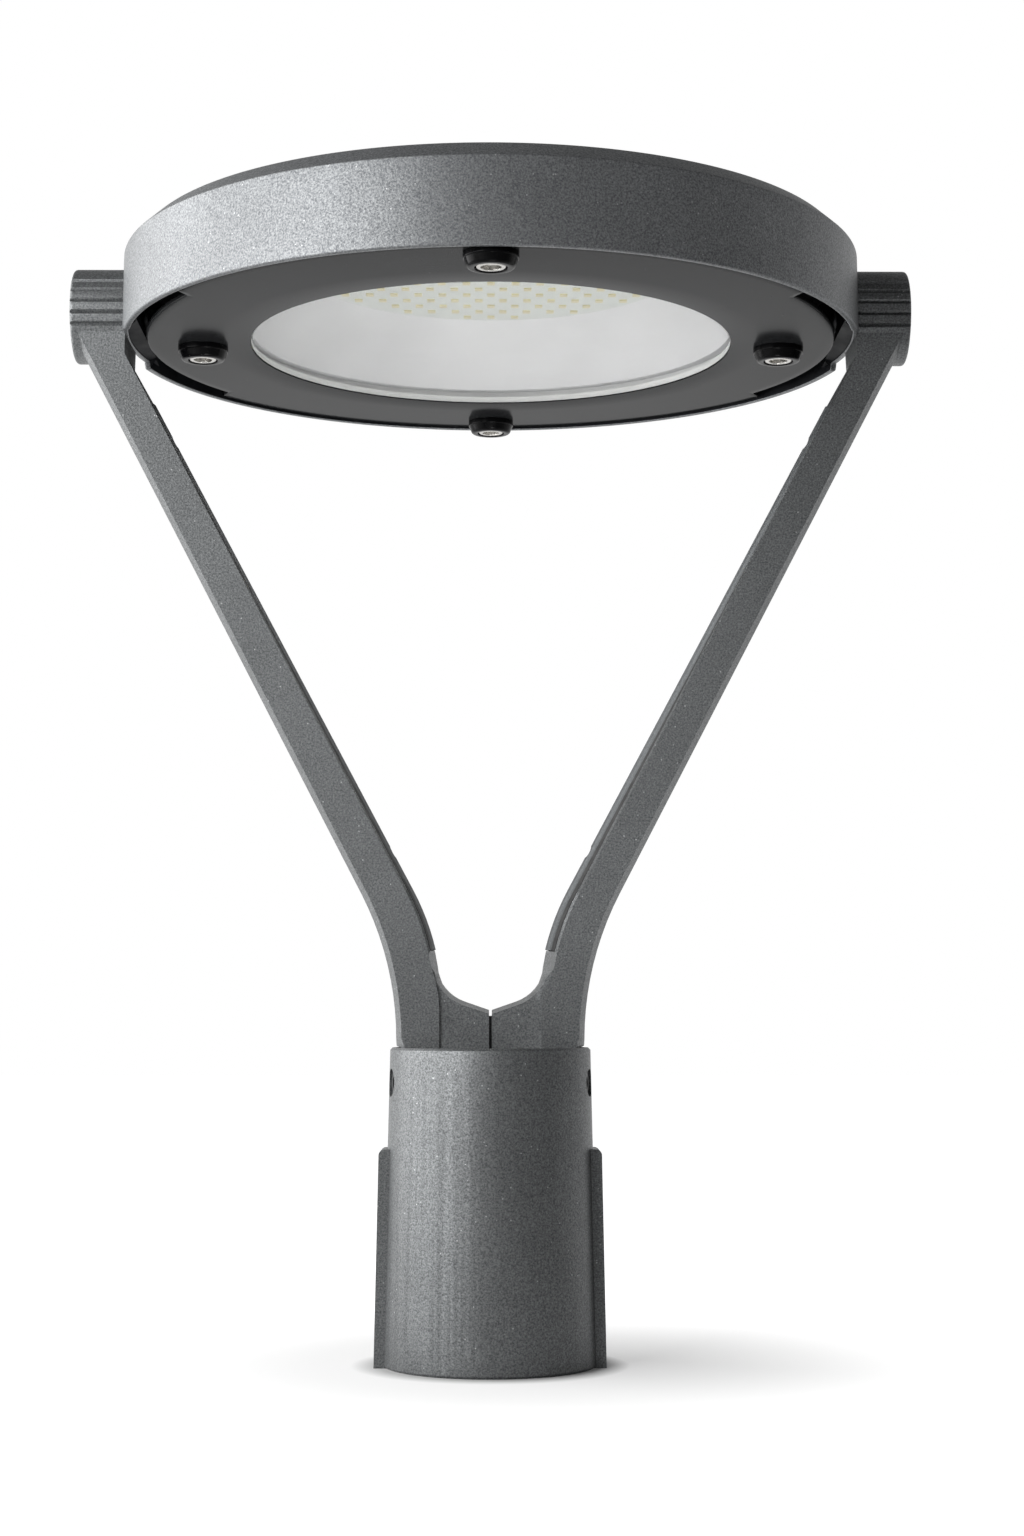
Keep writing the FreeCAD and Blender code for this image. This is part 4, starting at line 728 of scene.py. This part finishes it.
def addLamp(name, lamp):
    data = bpy.data.lights.new(name, "AREA")
    data.shape = "RECTANGLE"
    data.size, data.size_y = lamp["size"]
    data.energy = lamp["power"]
    data.spread = math.radians(lamp["spread"])
    source = bpy.data.objects.new(name, data)
    source.location = lamp["place"]
    source.rotation_euler = (Vector(lamp["aim"]) - Vector(lamp["place"])).to_track_quat("-Z", "Y").to_euler()
    scene.collection.objects.link(source)


# glow by distance from the middle: dim beside the collar, cut to a dark ring at its foot as a painted contact
# shadow, white further off
floor = {"colour": "#b4b4b4", "rough": 0.95, "glow": "#ffffff", "reach": 6.0, "lines": 13, "dim": 0.54,
         "dimStart": 0.07, "dimEnd": 0.3, "paintedContactShadow": 0.1, "paintedContactShadowStart": 0.056, "paintedContactShadowEnd": 0.07,
         "front": 0.12, "frontStart": -0.4, "frontEnd": 0.3}


def makeFloor():
    # wide flat grid with a matt pale face that takes the shadow; far off it fades into the white surround
    side = np.linspace(-floor["reach"], floor["reach"], floor["lines"])
    x, y = np.meshgrid(side, side, indexing="ij")
    points = np.stack([x, y, np.zeros_like(x)], -1).reshape(-1, 3)
    mesh = bpy.data.meshes.new("studioFloor")
    mesh.from_pydata(points.tolist(), [], gridFaces(floor["lines"], floor["lines"], False, False).tolist())
    sheet = bpy.data.objects.new("studioFloor", mesh)
    scene.collection.objects.link(sheet)
    material, tree, coords = startMaterial("paperWhiteMatt")
    away = addNode(tree, "ShaderNodeVectorMath", {0: coords}, operation="LENGTH")
    far = addNode(tree, "ShaderNodeMapRange", {
        "Value": away.outputs["Value"], "From Min": floor["dimStart"], "From Max": floor["dimEnd"],
        "To Min": floor["dim"], "To Max": 1.0}, interpolation_type="SMOOTHSTEP")
    # painted contact shadow: the glow drops to a dark ring round the collar's foot
    paintedContactShadow = addNode(tree, "ShaderNodeMapRange", {
        "Value": away.outputs["Value"], "From Min": floor["paintedContactShadowStart"], "From Max": floor["paintedContactShadowEnd"],
        "To Min": floor["paintedContactShadow"], "To Max": 1.0})
    openFloor = addNode(tree, "ShaderNodeMath", {0: far.outputs["Result"], 1: paintedContactShadow.outputs["Result"]},
                        operation="MULTIPLY")
    place = addNode(tree, "ShaderNodeSeparateXYZ", {"Vector": coords})
    behind = addNode(tree, "ShaderNodeMapRange", {
        "Value": place.outputs["Y"], "From Min": floor["frontStart"], "From Max": floor["frontEnd"],
        "To Min": floor["front"], "To Max": 1.0}, interpolation_type="SMOOTHSTEP")
    path = addNode(tree, "ShaderNodeLightPath")
    straight = addNode(tree, "ShaderNodeMath", {
        0: path.outputs["Is Camera Ray"], 1: path.outputs["Is Transmission Ray"]}, operation="MAXIMUM")
    mirrored = addNode(tree, "ShaderNodeMath", {
        0: path.outputs["Is Glossy Ray"], 1: behind.outputs["Result"]}, operation="MULTIPLY")
    direct = addNode(tree, "ShaderNodeMath", {0: straight.outputs[0], 1: mirrored.outputs[0]},
                     operation="MAXIMUM")
    glow = addNode(tree, "ShaderNodeMath", {0: openFloor.outputs[0], 1: direct.outputs[0]},
                   operation="MULTIPLY")
    closeMaterial(tree, {
        "Base Color": linear(floor["colour"]), "Roughness": floor["rough"], "Specular IOR Level": 0.0,
        "Emission Color": linear(floor["glow"]), "Emission Strength": glow.outputs[0]})
    mesh.materials.append(material)


# level in mirrored light: full behind the object, lower in front of it and overhead; dim in diffuse light
surround = {"colour": "#ffffff", "front": 0.46, "frontStart": -0.4, "frontEnd": 0.8, "overhead": 0.28,
            "overheadStart": 0.3, "overheadEnd": 0.7, "diffuse": 0.2}


def makeWorld():
    # white where it is looked at; the object is lit by a dim surround that is paler behind it
    world = bpy.data.worlds.new("studioSurround")
    scene.world = world
    world.use_nodes = True
    tree = world.node_tree
    tree.nodes.clear()
    way = addNode(tree, "ShaderNodeTexCoord").outputs["Generated"]
    axes = addNode(tree, "ShaderNodeSeparateXYZ", {"Vector": way})
    behind = addNode(tree, "ShaderNodeMapRange", {
        "Value": axes.outputs["Y"], "From Min": surround["frontStart"], "From Max": surround["frontEnd"],
        "To Min": surround["front"], "To Max": 1.0}, interpolation_type="SMOOTHSTEP")
    above = addNode(tree, "ShaderNodeMapRange", {
        "Value": axes.outputs["Z"], "From Min": surround["overheadStart"], "From Max": surround["overheadEnd"],
        "To Min": 1.0, "To Max": surround["overhead"]})
    around = addNode(tree, "ShaderNodeMath", {0: behind.outputs["Result"], 1: above.outputs["Result"]},
                     operation="MULTIPLY")
    path = addNode(tree, "ShaderNodeLightPath")
    through = addNode(tree, "ShaderNodeMath", {
        0: path.outputs["Is Camera Ray"], 1: path.outputs["Is Transmission Ray"]}, operation="MAXIMUM")
    soft = addNode(tree, "ShaderNodeMapRange", {
        "Value": path.outputs["Is Glossy Ray"], "To Min": surround["diffuse"], "To Max": 1.0})
    lit = addNode(tree, "ShaderNodeMath", {0: around.outputs[0], 1: soft.outputs["Result"]},
                  operation="MULTIPLY")
    level = addNode(tree, "ShaderNodeMath", {0: lit.outputs[0], 1: through.outputs[0]}, operation="MAXIMUM")
    back = addNode(tree, "ShaderNodeBackground", {
        "Color": linear(surround["colour"]), "Strength": level.outputs[0]})
    addNode(tree, "ShaderNodeOutputWorld", {"Surface": back.outputs[0]})


makeCamera()
makeFloor()
makeWorld()
for lampName, lamp in lamps.items():
    addLamp(lampName, lamp)
scene.view_settings.view_transform = "Standard"
print("studio ready")
